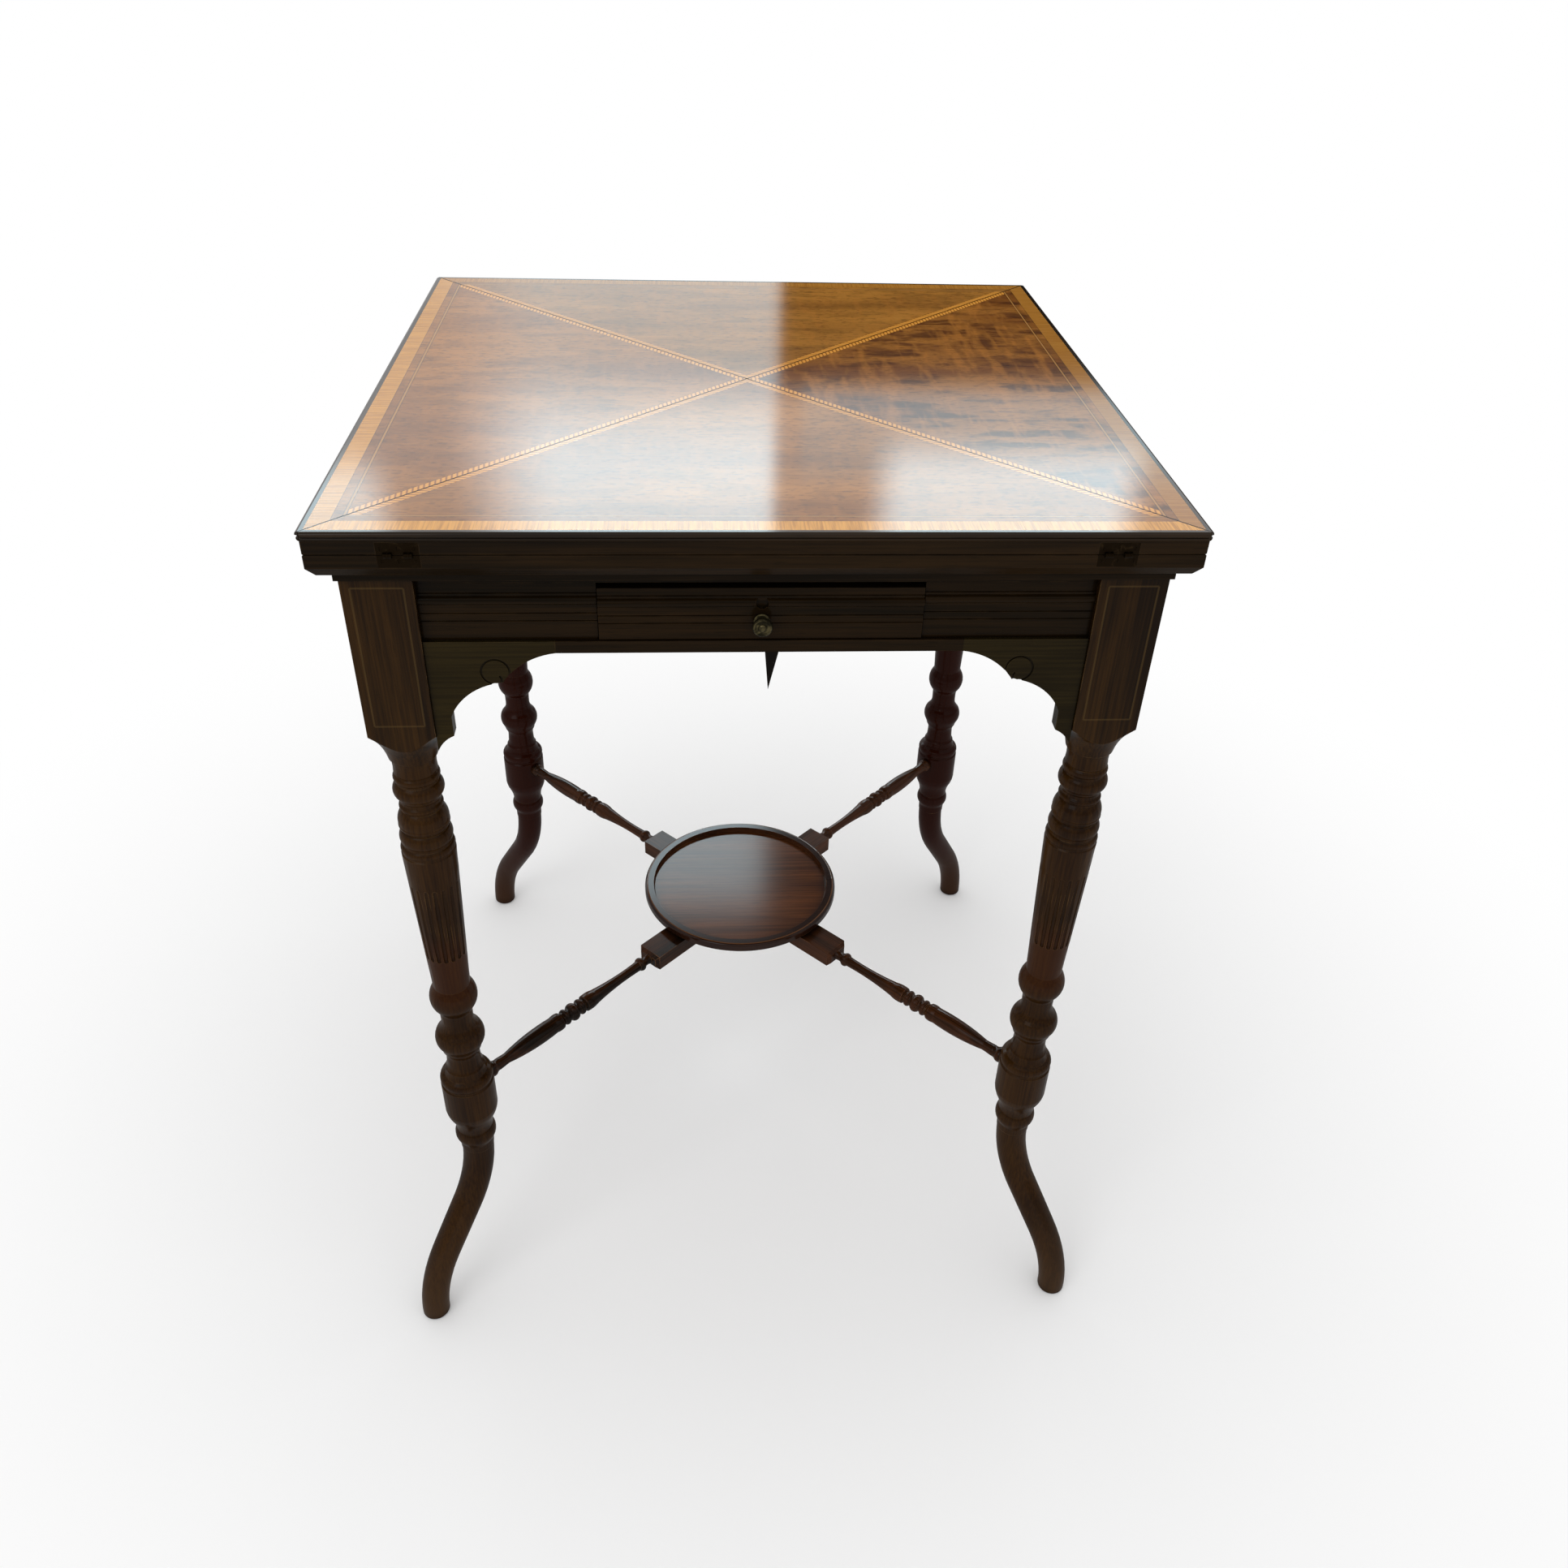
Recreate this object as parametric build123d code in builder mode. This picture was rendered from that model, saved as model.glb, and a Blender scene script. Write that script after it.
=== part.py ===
"""Envelope card table: a square top of four hinged triangular leaves on a board that turns on its frame.

Millimetres. +Z is up, +X is to the right of someone facing the drawer, and +Y points away from them.
The origin is on the floor, under the pivot at the middle of the top.
"""

from build123d import *
from math import cos, radians, sin, sqrt
import os

os.makedirs("parts", exist_ok=True)

# Whole table
top_side = 540.0
table_height = 758.0
cut_overrun = 3.0
glue_clearance = 0.02

# Top: leaves and the board they are hinged to
leaf_thickness = 15.0
board_thickness = 15.0
leaf_joint_gap = 0.5
leaf_tip_radius = 1.4
seam_arris = 0.6
nose_height = 6.0
nose_reach = 2.2
nose_lip_bow_share = 0.2
nose_bead_height = 2.7
nose_bead_bow_share = 0.48
nose_quirk_height = 0.7
nose_quirk_reach = 0.7
board_chamfer_height = 6.3
board_chamfer_depth = 4.5
turning_gap = 0.4

# Baize playing surface
baize_thickness = 1.0
baize_depth = 1.2
baize_edge_gap = 0.3
baize_hinge_margin = 6.0
baize_border = 38.0

# Hinges let into the edges of the leaves and the board
hinge_corner_distance = 55.0
hinge_width = 25.0
hinge_plate_height = 8.0
hinge_plate_thickness = 1.6
hinge_seam_gap = 0.15
hinge_axis_reach = 0.6
hinge_crossing_spacing = 12.0
knuckle_radius = 1.6
knuckle_pitch = 1.7
knuckle_gap = 0.1
knuckle_clearance = 0.3
hinge_pin_radius = 0.7
hinge_pin_clearance = 0.05
hinge_screw_head_radius = 1.3
hinge_screw_shank_radius = 0.6
hinge_screw_length = 7.0
hinge_screw_spacing = 20.0
hinge_screw_slot_width = 0.4
hinge_screw_slot_depth = 0.3

# Pivot and turning stop
pivot_radius = 6.0
pivot_head_radius = 14.0
pivot_head_height = 3.0
pivot_square_side = 13.0
pivot_square_height = 6.0
pivot_clearance = 0.05
washer_radius = 15.0
washer_thickness = 2.0
nut_across_flats = 18.0
nut_height = 8.0
pivot_end_reach = 2.0
pivot_end_chamfer = 0.6
turn_angle = 45.0
stop_peg_radius = 4.0
stop_peg_distance = 26.0
stop_peg_angle = 90.0
stop_peg_rise = 6.0
stop_peg_seat = 12.0
stop_peg_chamfer = 0.6
stop_groove_clearance = 0.4
stop_groove_depth = 8.0

# Legs
top_overhang = 13.7
leg_block_side = 44.0
leg_block_height = 141.5
leg_shoulder_rise = 27.0
leg_shoulder_step = 0.9
shoulder_bow_out_share = 0.111
shoulder_bow_up_share = 0.385
turning_foot_height = 172.0
knee_radius = 21.5
foot_top_radius = 13.3
foot_tip_radius = 11.9
foot_upper_bend = 110.0
foot_lower_bend = 122.0
foot_lean = 35.0
foot_edge_radius = 2.5
flute_count = 18
flute_radius = 1.7
flute_bite = 1.2
flute_top_share = 0.750
flute_top_radius_share = 0.869
flute_bottom_share = 0.532
flute_bottom_radius_share = 0.707
flute_end_inset = 9.5

# Turned part of the leg, from its foot up: height as a share of the turned length, radius as a share
# of the knee radius, and how far the line bulges out on the way there, as a share of its own length
turning_shares = [
    (0.000, 0.640, 0),
    (0.018, 0.655, 0),
    (0.024, 0.695, 0),
    (0.058, 0.695, 0.15),
    (0.062, 0.710, 0),
    (0.094, 0.850, -0.05),
    (0.121, 1.000, 0.05),
    (0.197, 1.000, 0),
    (0.200, 0.955, 0),
    (0.204, 0.955, 0),
    (0.222, 0.915, 0.17),
    (0.226, 0.800, 0),
    (0.242, 0.730, -0.06),
    (0.256, 0.640, -0.08),
    (0.270, 0.625, 0),
    (0.295, 0.730, -0.10),
    (0.309, 0.825, -0.04),
    (0.344, 0.825, 0.13),
    (0.350, 0.735, 0),
    (0.374, 0.585, -0.10),
    (0.396, 0.595, 0),
    (0.410, 0.715, -0.08),
    (0.462, 0.715, 0.15),
    (0.468, 0.660, 0),
    (0.482, 0.670, 0),
    (0.532, 0.707, 0),
    (0.750, 0.869, 0),
    (0.796, 0.900, 0),
    (0.798, 0.868, 0),
    (0.802, 0.868, 0),
    (0.813, 0.862, 0.15),
    (0.815, 0.815, 0),
    (0.820, 0.815, 0),
    (0.845, 0.790, 0.15),
    (0.847, 0.750, 0),
    (0.852, 0.775, 0),
    (0.861, 0.825, 0.20),
    (0.888, 0.690, 0.10),
    (0.890, 0.660, 0),
    (0.893, 0.672, 0),
    (0.902, 0.672, 0.25),
    (0.904, 0.645, 0),
    (0.914, 0.695, -0.15),
    (0.918, 0.725, 0),
    (0.945, 0.725, 0.19),
    (0.947, 0.685, 0),
    (0.951, 0.690, 0),
    (0.964, 0.700, 0.22),
    (0.966, 0.675, 0),
    (0.970, 0.700, 0),
    (1.000, 0.735, -0.05),
]

# Frame: moulding under the top, frieze rails, apron and brackets
moulding_height = 7.1
moulding_reach = 2.2
moulding_width = 22.5
moulding_round = 4.0
frieze_bottom_rise = 8.4
frieze_field_height = 24.5
frieze_bead_height = 5.6
frieze_bead_reach = 1.3
frieze_fillet_height = 1.5
frieze_fillet_reach = 0.8
frieze_plain_height = 12.9
frieze_field_reach = 2.0
frieze_groove_width = 0.9
frieze_groove_depth = 0.7
frieze_groove_shares = [0.24, 0.46]
frieze_setback = 4.8
rail_thickness = 18.0
tenon_thickness = 10.0
tenon_length = 16.0
tenon_margin = 4.0
apron_thickness = 10.0
apron_setback = 1.8
bracket_length = 82.0
bracket_drop = 74.0
bracket_foot_width = 11.5
bracket_cove_drop = 47.0
bracket_cusp_length = 47.0
bracket_cusp_drop = 21.5
bracket_foot_flat = 12.0
bracket_upper_bow_share = 0.11
bracket_lower_bow_share = 0.14
bracket_foot_bow_share = 0.1
scroll_inset = 43.0
scroll_drop = 13.5
scroll_radius = 9.0
scroll_groove_width = 1.3
scroll_groove_depth = 0.8
scroll_start_angle = -30.0
scroll_turn = 300.0
scroll_curl_radius = 3.4
scroll_curl_turn = 140.0

# Front: thin rail over the drawer and flat rail under it
drawer_opening_width = 206.0
top_rail_height = 5.9
top_rail_depth = 42.0
bottom_rail_depth = 26.0

# Drawer
drawer_side_gap = 0.5
drawer_proud = 1.5
drawer_drop = 1.4
drawer_top_gap = 3.2
drawer_run_gap = 0.3
drawer_front_thickness = 16.0
drawer_side_thickness = 8.0
drawer_side_height = 30.0
drawer_lap = 8.0
drawer_bearer_gap = 13.0
drawer_back_thickness = 8.0
drawer_back_lift = 1.5
drawer_bottom_thickness = 5.0
drawer_bottom_lift = 6.0
drawer_groove_depth = 3.0
bead_notch_width = 8.0
bead_notch_depth = 1.2
drawer_sill_gap = 0.4

# Drawer knob
knob_radius = 6.5
knob_reach = 11.5
knob_screw_radius = 1.6
knob_screw_length = 13.0
knob_height_share = 0.54

# Turned outline of the knob: distance from the drawer as a share of its reach, radius as a share of its
# radius, and the bulge of the line on the way there
knob_shares = [
    (0.00, 0.80, 0),
    (0.06, 0.80, 0),
    (0.10, 0.66, 0),
    (0.13, 0.40, 0),
    (0.36, 0.36, -0.10),
    (0.50, 0.56, -0.12),
    (0.60, 0.92, 0),
    (0.82, 0.94, 0.20),
    (0.90, 0.80, 0.10),
    (0.84, 0.66, 0),
    (0.84, 0.44, 0),
    (0.90, 0.40, 0),
    (0.96, 0.28, 0),
    (0.99, 0.14, 0),
    (1.00, 0.00, 0),
]

# Drawer carcase inside the frame
runner_width = 30.0
guide_width = 9.0
guide_height = 14.0
kicker_width = 22.0
kicker_gap = 0.8
drawer_stop_length = 14.0
drawer_stop_height = 4.6
drawer_stop_gap = 0.3
runner_overlap = 12.5

# Bearer across the frame that carries the pivot
bearer_width = 70.0
bearer_thickness = 25.0
bearer_housing = 6.0

# Hanging drawer catch behind the bottom rail
catch_offset = 9.4
catch_pivot_rise = 4.0
catch_width = 9.8
catch_tail = 8.0
catch_drop = 54.6
catch_taper_share = 0.42
catch_tip_share = 0.28
catch_thickness = 2.5
catch_gap = 0.3
catch_screw_radius = 1.5
catch_screw_clearance = 0.06
catch_screw_head_radius = 3.2
catch_screw_head_height = 1.8
catch_screw_head_round = 0.8
catch_screw_length = 9.0
catch_slot_width = 0.8
catch_slot_depth = 0.7

# Stretchers, their hub and the tray
stretcher_height_share = 0.1757
stretcher_block_width = 25.0
stretcher_block_height = 15.0
stretcher_block_end = 125.4
stretcher_block_chamfer = 3.0
hub_half_width = 40.0
hub_turn = 45.0
stretcher_tenon_radius = 5.0
stretcher_leg_tenon = 13.0
stretcher_hub_tenon = 14.0
stretcher_mid_radius = 8.2

# Turned part of a stretcher, from the leg to its block: place as a share of the turned length, radius
# as a share of its fattest ring, and the bulge of the line on the way there
stretcher_shares = [
    (0.000, 0.80, 0),
    (0.022, 0.80, 0.1),
    (0.050, 0.63, -0.12),
    (0.100, 0.57, 0),
    (0.380, 0.91, 0.03),
    (0.420, 0.93, 0.06),
    (0.432, 0.70, 0),
    (0.440, 0.72, 0),
    (0.464, 0.74, 0.30),
    (0.478, 0.74, -0.15),
    (0.520, 0.74, 0.28),
    (0.534, 0.74, -0.15),
    (0.558, 0.74, 0.30),
    (0.566, 0.70, 0),
    (0.574, 0.92, 0.1),
    (0.640, 0.82, 0.05),
    (0.900, 0.55, -0.02),
    (0.930, 0.58, 0),
    (0.962, 0.58, 0.28),
    (1.000, 0.62, -0.1),
]
tray_radius = 93.0
tray_thickness = 11.0
tray_rim_width = 8.5
tray_dish_depth = 4.6
tray_base_inset = 6.0
tray_edge_height = 3.6
tray_edge_round = 3.0
tray_edge_bow_share = 0.2
tray_cove_bow_share = -0.15
tray_fillet_reach = 1.2
tray_wall_slope = 1.2
tray_screw_radius = 2.0
tray_screw_head_radius = 4.0
tray_screw_depth = 4.0
tray_screw_distance = 72.0
tray_screw_slot_width = 1.0
tray_screw_slot_depth = 1.0

# Levels and planes worked out from the sizes above
half_top = top_side / 2
seam_height = table_height - leaf_thickness
board_bottom = seam_height - board_thickness
frame_top = board_bottom - turning_gap
block_top = frame_top - moulding_height
hinge_axis_y = -(half_top + hinge_axis_reach)
leg_face = half_top - top_overhang
leg_axis_offset = leg_face - leg_block_side / 2
leg_inner = leg_face - leg_block_side
leg_shoulder_height = block_top - leg_block_height
turned_length = leg_shoulder_height - turning_foot_height
field_face = leg_face - frieze_setback
plain_face = field_face - frieze_field_reach
rail_inner = field_face - rail_thickness
apron_face = leg_face - apron_setback
apron_inner = apron_face - apron_thickness
field_top = block_top - frieze_plain_height - frieze_fillet_height - frieze_bead_height
field_bottom = field_top - frieze_field_height
rail_bottom_height = field_bottom - frieze_bottom_rise
catch_pivot_height = rail_bottom_height + catch_pivot_rise
stretcher_height = turning_foot_height + stretcher_height_share * turned_length
diagonal = 1 / sqrt(2)
stop_peg_across = stop_peg_distance * cos(radians(stop_peg_angle))
stop_peg_back = stop_peg_distance * sin(radians(stop_peg_angle))
leg_distance = leg_axis_offset * sqrt(2)
turn_places = {"front": 0, "right": 90, "back": 180, "left": 270}
corner_places = {"front_left": 0, "front_right": 90, "back_right": 180, "back_left": 270}
hinge_places = [-(half_top - hinge_corner_distance), half_top - hinge_corner_distance]


def bulged(points):
    """Join (x, y, bulge) points by lines, or by arcs that bulge to the right of the way by that share."""
    for (x0, y0, _), (x1, y1, bulge) in zip(points, points[1:]):
        if bulge == 0:
            Line((x0, y0), (x1, y1))
        else:
            middle = ((x0 + x1) / 2 + bulge * (y1 - y0), (y0 + y1) / 2 - bulge * (x1 - x0))
            ThreePointArc((x0, y0), middle, (x1, y1))


def frieze_outline(face, back, bottom, top, bead_base):
    """Draw the moulded section of a frieze piece, x running inwards: grooved field, bead, plain strip."""
    plain = face + frieze_field_reach
    bead_top = bead_base + frieze_bead_height
    bead_middle = bead_base + frieze_bead_height / 2
    fillet_top = bead_top + frieze_fillet_height
    points = [(back, bottom), (face, bottom)]
    for share in frieze_groove_shares:
        groove = bead_base - share * frieze_field_height
        points.insert(2, (face, groove + frieze_groove_width / 2))
        points.insert(2, (face + frieze_groove_depth, groove))
        points.insert(2, (face, groove - frieze_groove_width / 2))
    points.append((face, bead_base))
    Polyline(*points)
    ThreePointArc(
        (face, bead_base),
        (face - frieze_bead_reach, bead_middle),
        (plain - frieze_fillet_reach, bead_top),
    )
    Polyline(
        (plain - frieze_fillet_reach, bead_top),
        (plain - frieze_fillet_reach, fillet_top),
        (plain, fillet_top),
        (plain, top),
        (back, top),
        (back, bottom),
    )


def turned_to(part, angle, name):
    """Write a copy of a part turned about the table's middle."""
    copy = part.rotate(Axis.Z, angle)
    copy.label = name
    export_step(copy, f"parts/{name}.step")


def both_sides(part, name):
    """Write one node with a piece and its mirror image across the drawer."""
    node = Compound(children=[Part(part.wrapped), Part(mirror(part, about=Plane.YZ).wrapped)])
    node.label = name
    export_step(node, f"parts/{name}.step")


# Leg: square block with two mortises, turned and fluted shaft, outswept foot
flute_radius_bottom = flute_bottom_radius_share * knee_radius
flute_radius_top = flute_top_radius_share * knee_radius
flute_low = turning_foot_height + flute_bottom_share * turned_length + flute_end_inset
flute_high = turning_foot_height + flute_top_share * turned_length - flute_end_inset
foot_straight = (
    turning_foot_height - (foot_upper_bend + foot_lower_bend) * sin(radians(foot_lean))
) / cos(radians(foot_lean))
leg_plane = Plane(origin=(-leg_axis_offset, -leg_axis_offset, 0), x_dir=(-1, -1, 0), z_dir=(-1, 1, 0))
mortise_top = block_top - top_rail_height - tenon_margin
mortise_bottom = field_bottom + tenon_margin
tenon_middle = (rail_inner + plain_face) / 2

with BuildPart() as flute:
    flute_slope = Vector(flute_radius_top - flute_radius_bottom, 0, flute_high - flute_low)
    flute_out = flute_radius - flute_bite
    flute_start = Vector(flute_radius_bottom + flute_out, 0, flute_low)
    with BuildSketch(Plane(origin=flute_start, x_dir=(0, 1, 0), z_dir=flute_slope)):
        Circle(flute_radius)
    extrude(amount=flute_slope.length)
    with Locations(flute_start, flute_start + flute_slope):
        Sphere(flute_radius)

with BuildPart() as leg:
    with BuildSketch(Plane.XY.offset(leg_shoulder_height)):
        with Locations((-leg_axis_offset, -leg_axis_offset)):
            Rectangle(leg_block_side, leg_block_side)
    extrude(amount=block_top - leg_shoulder_height)
    with BuildSketch(leg_plane):
        neck_radius = turning_shares[-1][1] * knee_radius + leg_shoulder_step
        block_corner = leg_block_side * diagonal
        shoulder_top = leg_shoulder_height + leg_shoulder_rise
        bow_radius = neck_radius + shoulder_bow_out_share * leg_shoulder_rise
        bow_height = leg_shoulder_height + shoulder_bow_up_share * leg_shoulder_rise
        with BuildLine():
            Line((0, leg_shoulder_height), (neck_radius, leg_shoulder_height))
            ThreePointArc(
                (neck_radius, leg_shoulder_height),
                (bow_radius, bow_height),
                (block_corner, shoulder_top),
            )
            Polyline(
                (block_corner, shoulder_top),
                (block_corner + cut_overrun, shoulder_top),
                (block_corner + cut_overrun, block_top + cut_overrun),
                (0, block_top + cut_overrun),
                (0, leg_shoulder_height),
            )
        make_face()
    leg_axis = Axis((-leg_axis_offset, -leg_axis_offset, 0), (0, 0, 1))
    revolve(axis=leg_axis, mode=Mode.INTERSECT)
    with BuildSketch(leg_plane):
        turning = [
            (radius * knee_radius, turning_foot_height + height * turned_length, bulge)
            for height, radius, bulge in turning_shares
        ]
        with BuildLine():
            bulged(turning)
            Polyline(
                (turning[-1][0], turning[-1][1]),
                (0, leg_shoulder_height),
                (0, turning_foot_height),
                (turning[0][0], turning[0][1]),
            )
        make_face()
    revolve(axis=leg_axis)
    with Locations((-leg_axis_offset, -leg_axis_offset, 0)):
        with PolarLocations(0, flute_count):
            add(flute.part, mode=Mode.SUBTRACT)
    with BuildLine(leg_plane) as foot_path:
        upper = JernArc((0, turning_foot_height), (0, -1), foot_upper_bend, foot_lean)
        middle = Line(upper @ 1, (upper @ 1) + (upper % 1) * foot_straight)
        JernArc(middle @ 1, middle % 1, foot_lower_bend, -foot_lean)
    foot_line = foot_path.wire()
    with BuildSketch(Plane(origin=foot_line @ 0, z_dir=foot_line % 0)):
        Circle(foot_top_radius)
    with BuildSketch(Plane(origin=foot_line @ 1, z_dir=foot_line % 1)):
        Circle(foot_tip_radius)
    sweep(path=foot_line, multisection=True)
    fillet(leg.edges().group_by(Axis.Z)[0], radius=foot_edge_radius)
    for inner_axis, along in (((1, 0, 0), (0, 1, 0)), ((0, 1, 0), (1, 0, 0))):
        face_middle = Vector(inner_axis) * -leg_inner - Vector(along) * tenon_middle
        face_middle += Vector(0, 0, (mortise_top + mortise_bottom) / 2)
        with BuildSketch(Plane(origin=face_middle, x_dir=along, z_dir=Vector(inner_axis) * -1)):
            Rectangle(tenon_thickness + glue_clearance, mortise_top - mortise_bottom + glue_clearance)
        extrude(amount=tenon_length + glue_clearance, mode=Mode.SUBTRACT)
    knee_face = Vector(1, 1, 0) * diagonal * (knee_radius - stretcher_leg_tenon)
    knee_centre = Vector(-leg_axis_offset, -leg_axis_offset, stretcher_height) + knee_face
    with BuildSketch(Plane(origin=knee_centre, z_dir=(1, 1, 0))):
        Circle(stretcher_tenon_radius + glue_clearance)
    extrude(amount=stretcher_leg_tenon + cut_overrun, mode=Mode.SUBTRACT)

for place, angle in corner_places.items():
    turned_to(leg.part, angle, f"leg_{place}")

# Frieze rails: one moulded rail at the back and at each side, tenoned into the legs
rail_plane = Plane(origin=(-leg_inner, 0, 0), x_dir=(0, 1, 0), z_dir=(1, 0, 0))
bearer_bottom = frame_top - bearer_thickness


with BuildPart() as rail:
    with BuildSketch(rail_plane):
        with BuildLine():
            frieze_outline(-field_face, -rail_inner, rail_bottom_height, block_top, field_top)
        make_face()
    extrude(amount=2 * leg_inner)
    for end in (-1, 1):
        with BuildSketch(Plane.YZ.offset(end * leg_inner)):
            with Locations((-tenon_middle, (mortise_top + mortise_bottom) / 2)):
                Rectangle(tenon_thickness, mortise_top - mortise_bottom)
        extrude(amount=end * tenon_length)
    with BuildSketch(rail_plane):
        with Locations((-field_face, rail_bottom_height)):
            Rectangle(2 * (field_face - apron_inner), 2 * frieze_bottom_rise)
    extrude(amount=2 * leg_inner, mode=Mode.SUBTRACT)

with BuildPart() as side_rail:
    add(rail.part)
    with BuildSketch(Plane.XY.offset(bearer_bottom)):
        with Locations((0, -rail_inner)):
            Rectangle(bearer_width, 2 * bearer_housing)
    extrude(amount=bearer_thickness + cut_overrun, mode=Mode.SUBTRACT)

turned_to(rail.part, turn_places["back"], "rail_back")
turned_to(side_rail.part, turn_places["left"], "rail_left")
turned_to(side_rail.part, turn_places["right"], "rail_right")

# Front frieze: a panel each side of the drawer, a thin rail over it and a flat rail under it
panel_inner = drawer_opening_width / 2
panel_top = block_top - top_rail_height

with BuildPart() as front_panel:
    with BuildSketch(rail_plane):
        with BuildLine():
            frieze_outline(-field_face, -rail_inner, field_bottom, panel_top, field_top)
        make_face()
    extrude(amount=leg_inner - panel_inner)
    with BuildSketch(rail_plane):
        with Locations((-tenon_middle, (mortise_top + mortise_bottom) / 2)):
            Rectangle(tenon_thickness, mortise_top - mortise_bottom)
    extrude(amount=-tenon_length)

front_panel.part.label = "front_panel_left"
export_step(front_panel.part, "parts/front_panel_left.step")
right_panel = mirror(front_panel.part, about=Plane.YZ)
right_panel.label = "front_panel_right"
export_step(right_panel, "parts/front_panel_right.step")

with BuildPart() as front_top_rail:
    with BuildSketch(Plane.XY.offset(panel_top)):
        with Locations((0, -plain_face + top_rail_depth / 2)):
            Rectangle(2 * leg_inner, top_rail_depth)
    extrude(amount=top_rail_height)
front_top_rail.part.label = "front_top_rail"
export_step(front_top_rail.part, "parts/front_top_rail.step")

bottom_rail_back = -apron_inner + bottom_rail_depth
with BuildPart() as front_bottom_rail:
    with BuildSketch(Plane.XY.offset(rail_bottom_height)):
        with Locations((0, -apron_inner + bottom_rail_depth / 2)):
            Rectangle(2 * leg_inner, bottom_rail_depth)
    extrude(amount=frieze_bottom_rise)
    with BuildSketch(Plane.XZ.offset(-bottom_rail_back)):
        with Locations((catch_offset, catch_pivot_height)):
            Circle(catch_screw_radius + glue_clearance)
    extrude(amount=catch_screw_length, mode=Mode.SUBTRACT)
front_bottom_rail.part.label = "front_bottom_rail"
export_step(front_bottom_rail.part, "parts/front_bottom_rail.step")

# Moulding round the top of the frame: four strips mitred over the legs
moulding_outer = leg_face + moulding_reach
moulding_inner = moulding_outer - moulding_width
round_step = moulding_round * (1 - diagonal)
with BuildPart() as moulding_front:
    with BuildSketch(Plane.YZ.offset(-moulding_outer)):
        with BuildLine():
            Polyline(
                (-moulding_outer, block_top),
                (-moulding_inner, block_top),
                (-moulding_inner, frame_top),
                (-moulding_outer + moulding_round, frame_top),
            )
            ThreePointArc(
                (-moulding_outer + moulding_round, frame_top),
                (-moulding_outer + round_step, frame_top - round_step),
                (-moulding_outer, frame_top - moulding_round),
            )
            Line((-moulding_outer, frame_top - moulding_round), (-moulding_outer, block_top))
        make_face()
    extrude(amount=2 * moulding_outer)
    with BuildSketch(Plane.XY.offset(block_top)):
        Polygon(
            (-moulding_outer, -moulding_outer), (moulding_outer, -moulding_outer), (0, 0), align=None
        )
    extrude(amount=moulding_height, mode=Mode.INTERSECT)

moulding_solids = [moulding_front.part.rotate(Axis.Z, angle) for angle in turn_places.values()]
top_mouldings = Compound(children=[Part(piece.wrapped) for piece in moulding_solids])
top_mouldings.label = "top_mouldings"
export_step(top_mouldings, "parts/top_mouldings.step")

# Apron strips under the frieze, between the corner brackets
strip_half_length = leg_inner - bracket_length
with BuildPart() as apron_front:
    with BuildSketch(Plane.XY.offset(rail_bottom_height)):
        with Locations((0, -(apron_face + apron_inner) / 2)):
            Rectangle(2 * strip_half_length, apron_thickness)
    extrude(amount=frieze_bottom_rise)

apron_strips = Compound(
    children=[Part(apron_front.part.rotate(Axis.Z, angle).wrapped) for angle in turn_places.values()]
)
apron_strips.label = "apron_strips"
export_step(apron_strips, "parts/apron_strips.step")

# Corner brackets: fretted outline with an incised scroll, a pair under each side of the frieze
bracket_tip_height = rail_bottom_height - bracket_drop
with BuildPart() as bracket:
    with BuildSketch(Plane.XZ.offset(apron_face)):
        with BuildLine():
            bulged(
                [
                    (-leg_inner, field_bottom, 0),
                    (-strip_half_length, field_bottom, 0),
                    (-strip_half_length, rail_bottom_height, 0),
                    (
                        bracket_cusp_length - leg_inner,
                        rail_bottom_height - bracket_cusp_drop,
                        bracket_upper_bow_share,
                    ),
                    (
                        bracket_foot_width - leg_inner,
                        rail_bottom_height - bracket_cove_drop,
                        bracket_lower_bow_share,
                    ),
                    (bracket_foot_width - leg_inner, bracket_tip_height + bracket_foot_flat, 0),
                    (-leg_inner, bracket_tip_height, bracket_foot_bow_share),
                    (-leg_inner, field_bottom, 0),
                ]
            )
        make_face()
    extrude(amount=-apron_thickness)
    with BuildSketch(Plane.XZ.offset(apron_face)):
        with BuildLine():
            ring = CenterArc(
                (scroll_inset - leg_inner, rail_bottom_height - scroll_drop),
                scroll_radius,
                scroll_start_angle,
                scroll_turn,
            )
            JernArc(ring @ 1, ring % 1, scroll_curl_radius, scroll_curl_turn)
        trace(line_width=scroll_groove_width)
    extrude(amount=-scroll_groove_depth, mode=Mode.SUBTRACT)

bracket_pair = [bracket.part, mirror(bracket.part, about=Plane.YZ)]
for place, angle in turn_places.items():
    brackets = Compound(children=[Part(piece.rotate(Axis.Z, angle).wrapped) for piece in bracket_pair])
    brackets.label = f"brackets_{place}"
    export_step(brackets, f"parts/brackets_{place}.step")

# Bearer: cross rail housed in the side rails under the moulding, with the pivot bore and the peg's seat
with BuildPart() as pivot_bearer:
    with BuildSketch(Plane.XY.offset(bearer_bottom)):
        Rectangle(2 * (rail_inner + bearer_housing), bearer_width)
    extrude(amount=block_top - bearer_bottom)
    with BuildSketch(Plane.XY.offset(block_top)):
        Rectangle(2 * rail_inner, bearer_width)
    extrude(amount=moulding_height)
    with BuildSketch(Plane.XY.offset(bearer_bottom)):
        Circle(pivot_radius + pivot_clearance)
    extrude(amount=bearer_thickness, mode=Mode.SUBTRACT)
    with BuildSketch(Plane.XY.offset(frame_top)):
        with Locations((stop_peg_across, stop_peg_back)):
            Circle(stop_peg_radius + glue_clearance)
    extrude(amount=-stop_peg_seat, mode=Mode.SUBTRACT)
pivot_bearer.part.label = "pivot_bearer"
export_step(pivot_bearer.part, "parts/pivot_bearer.step")

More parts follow.
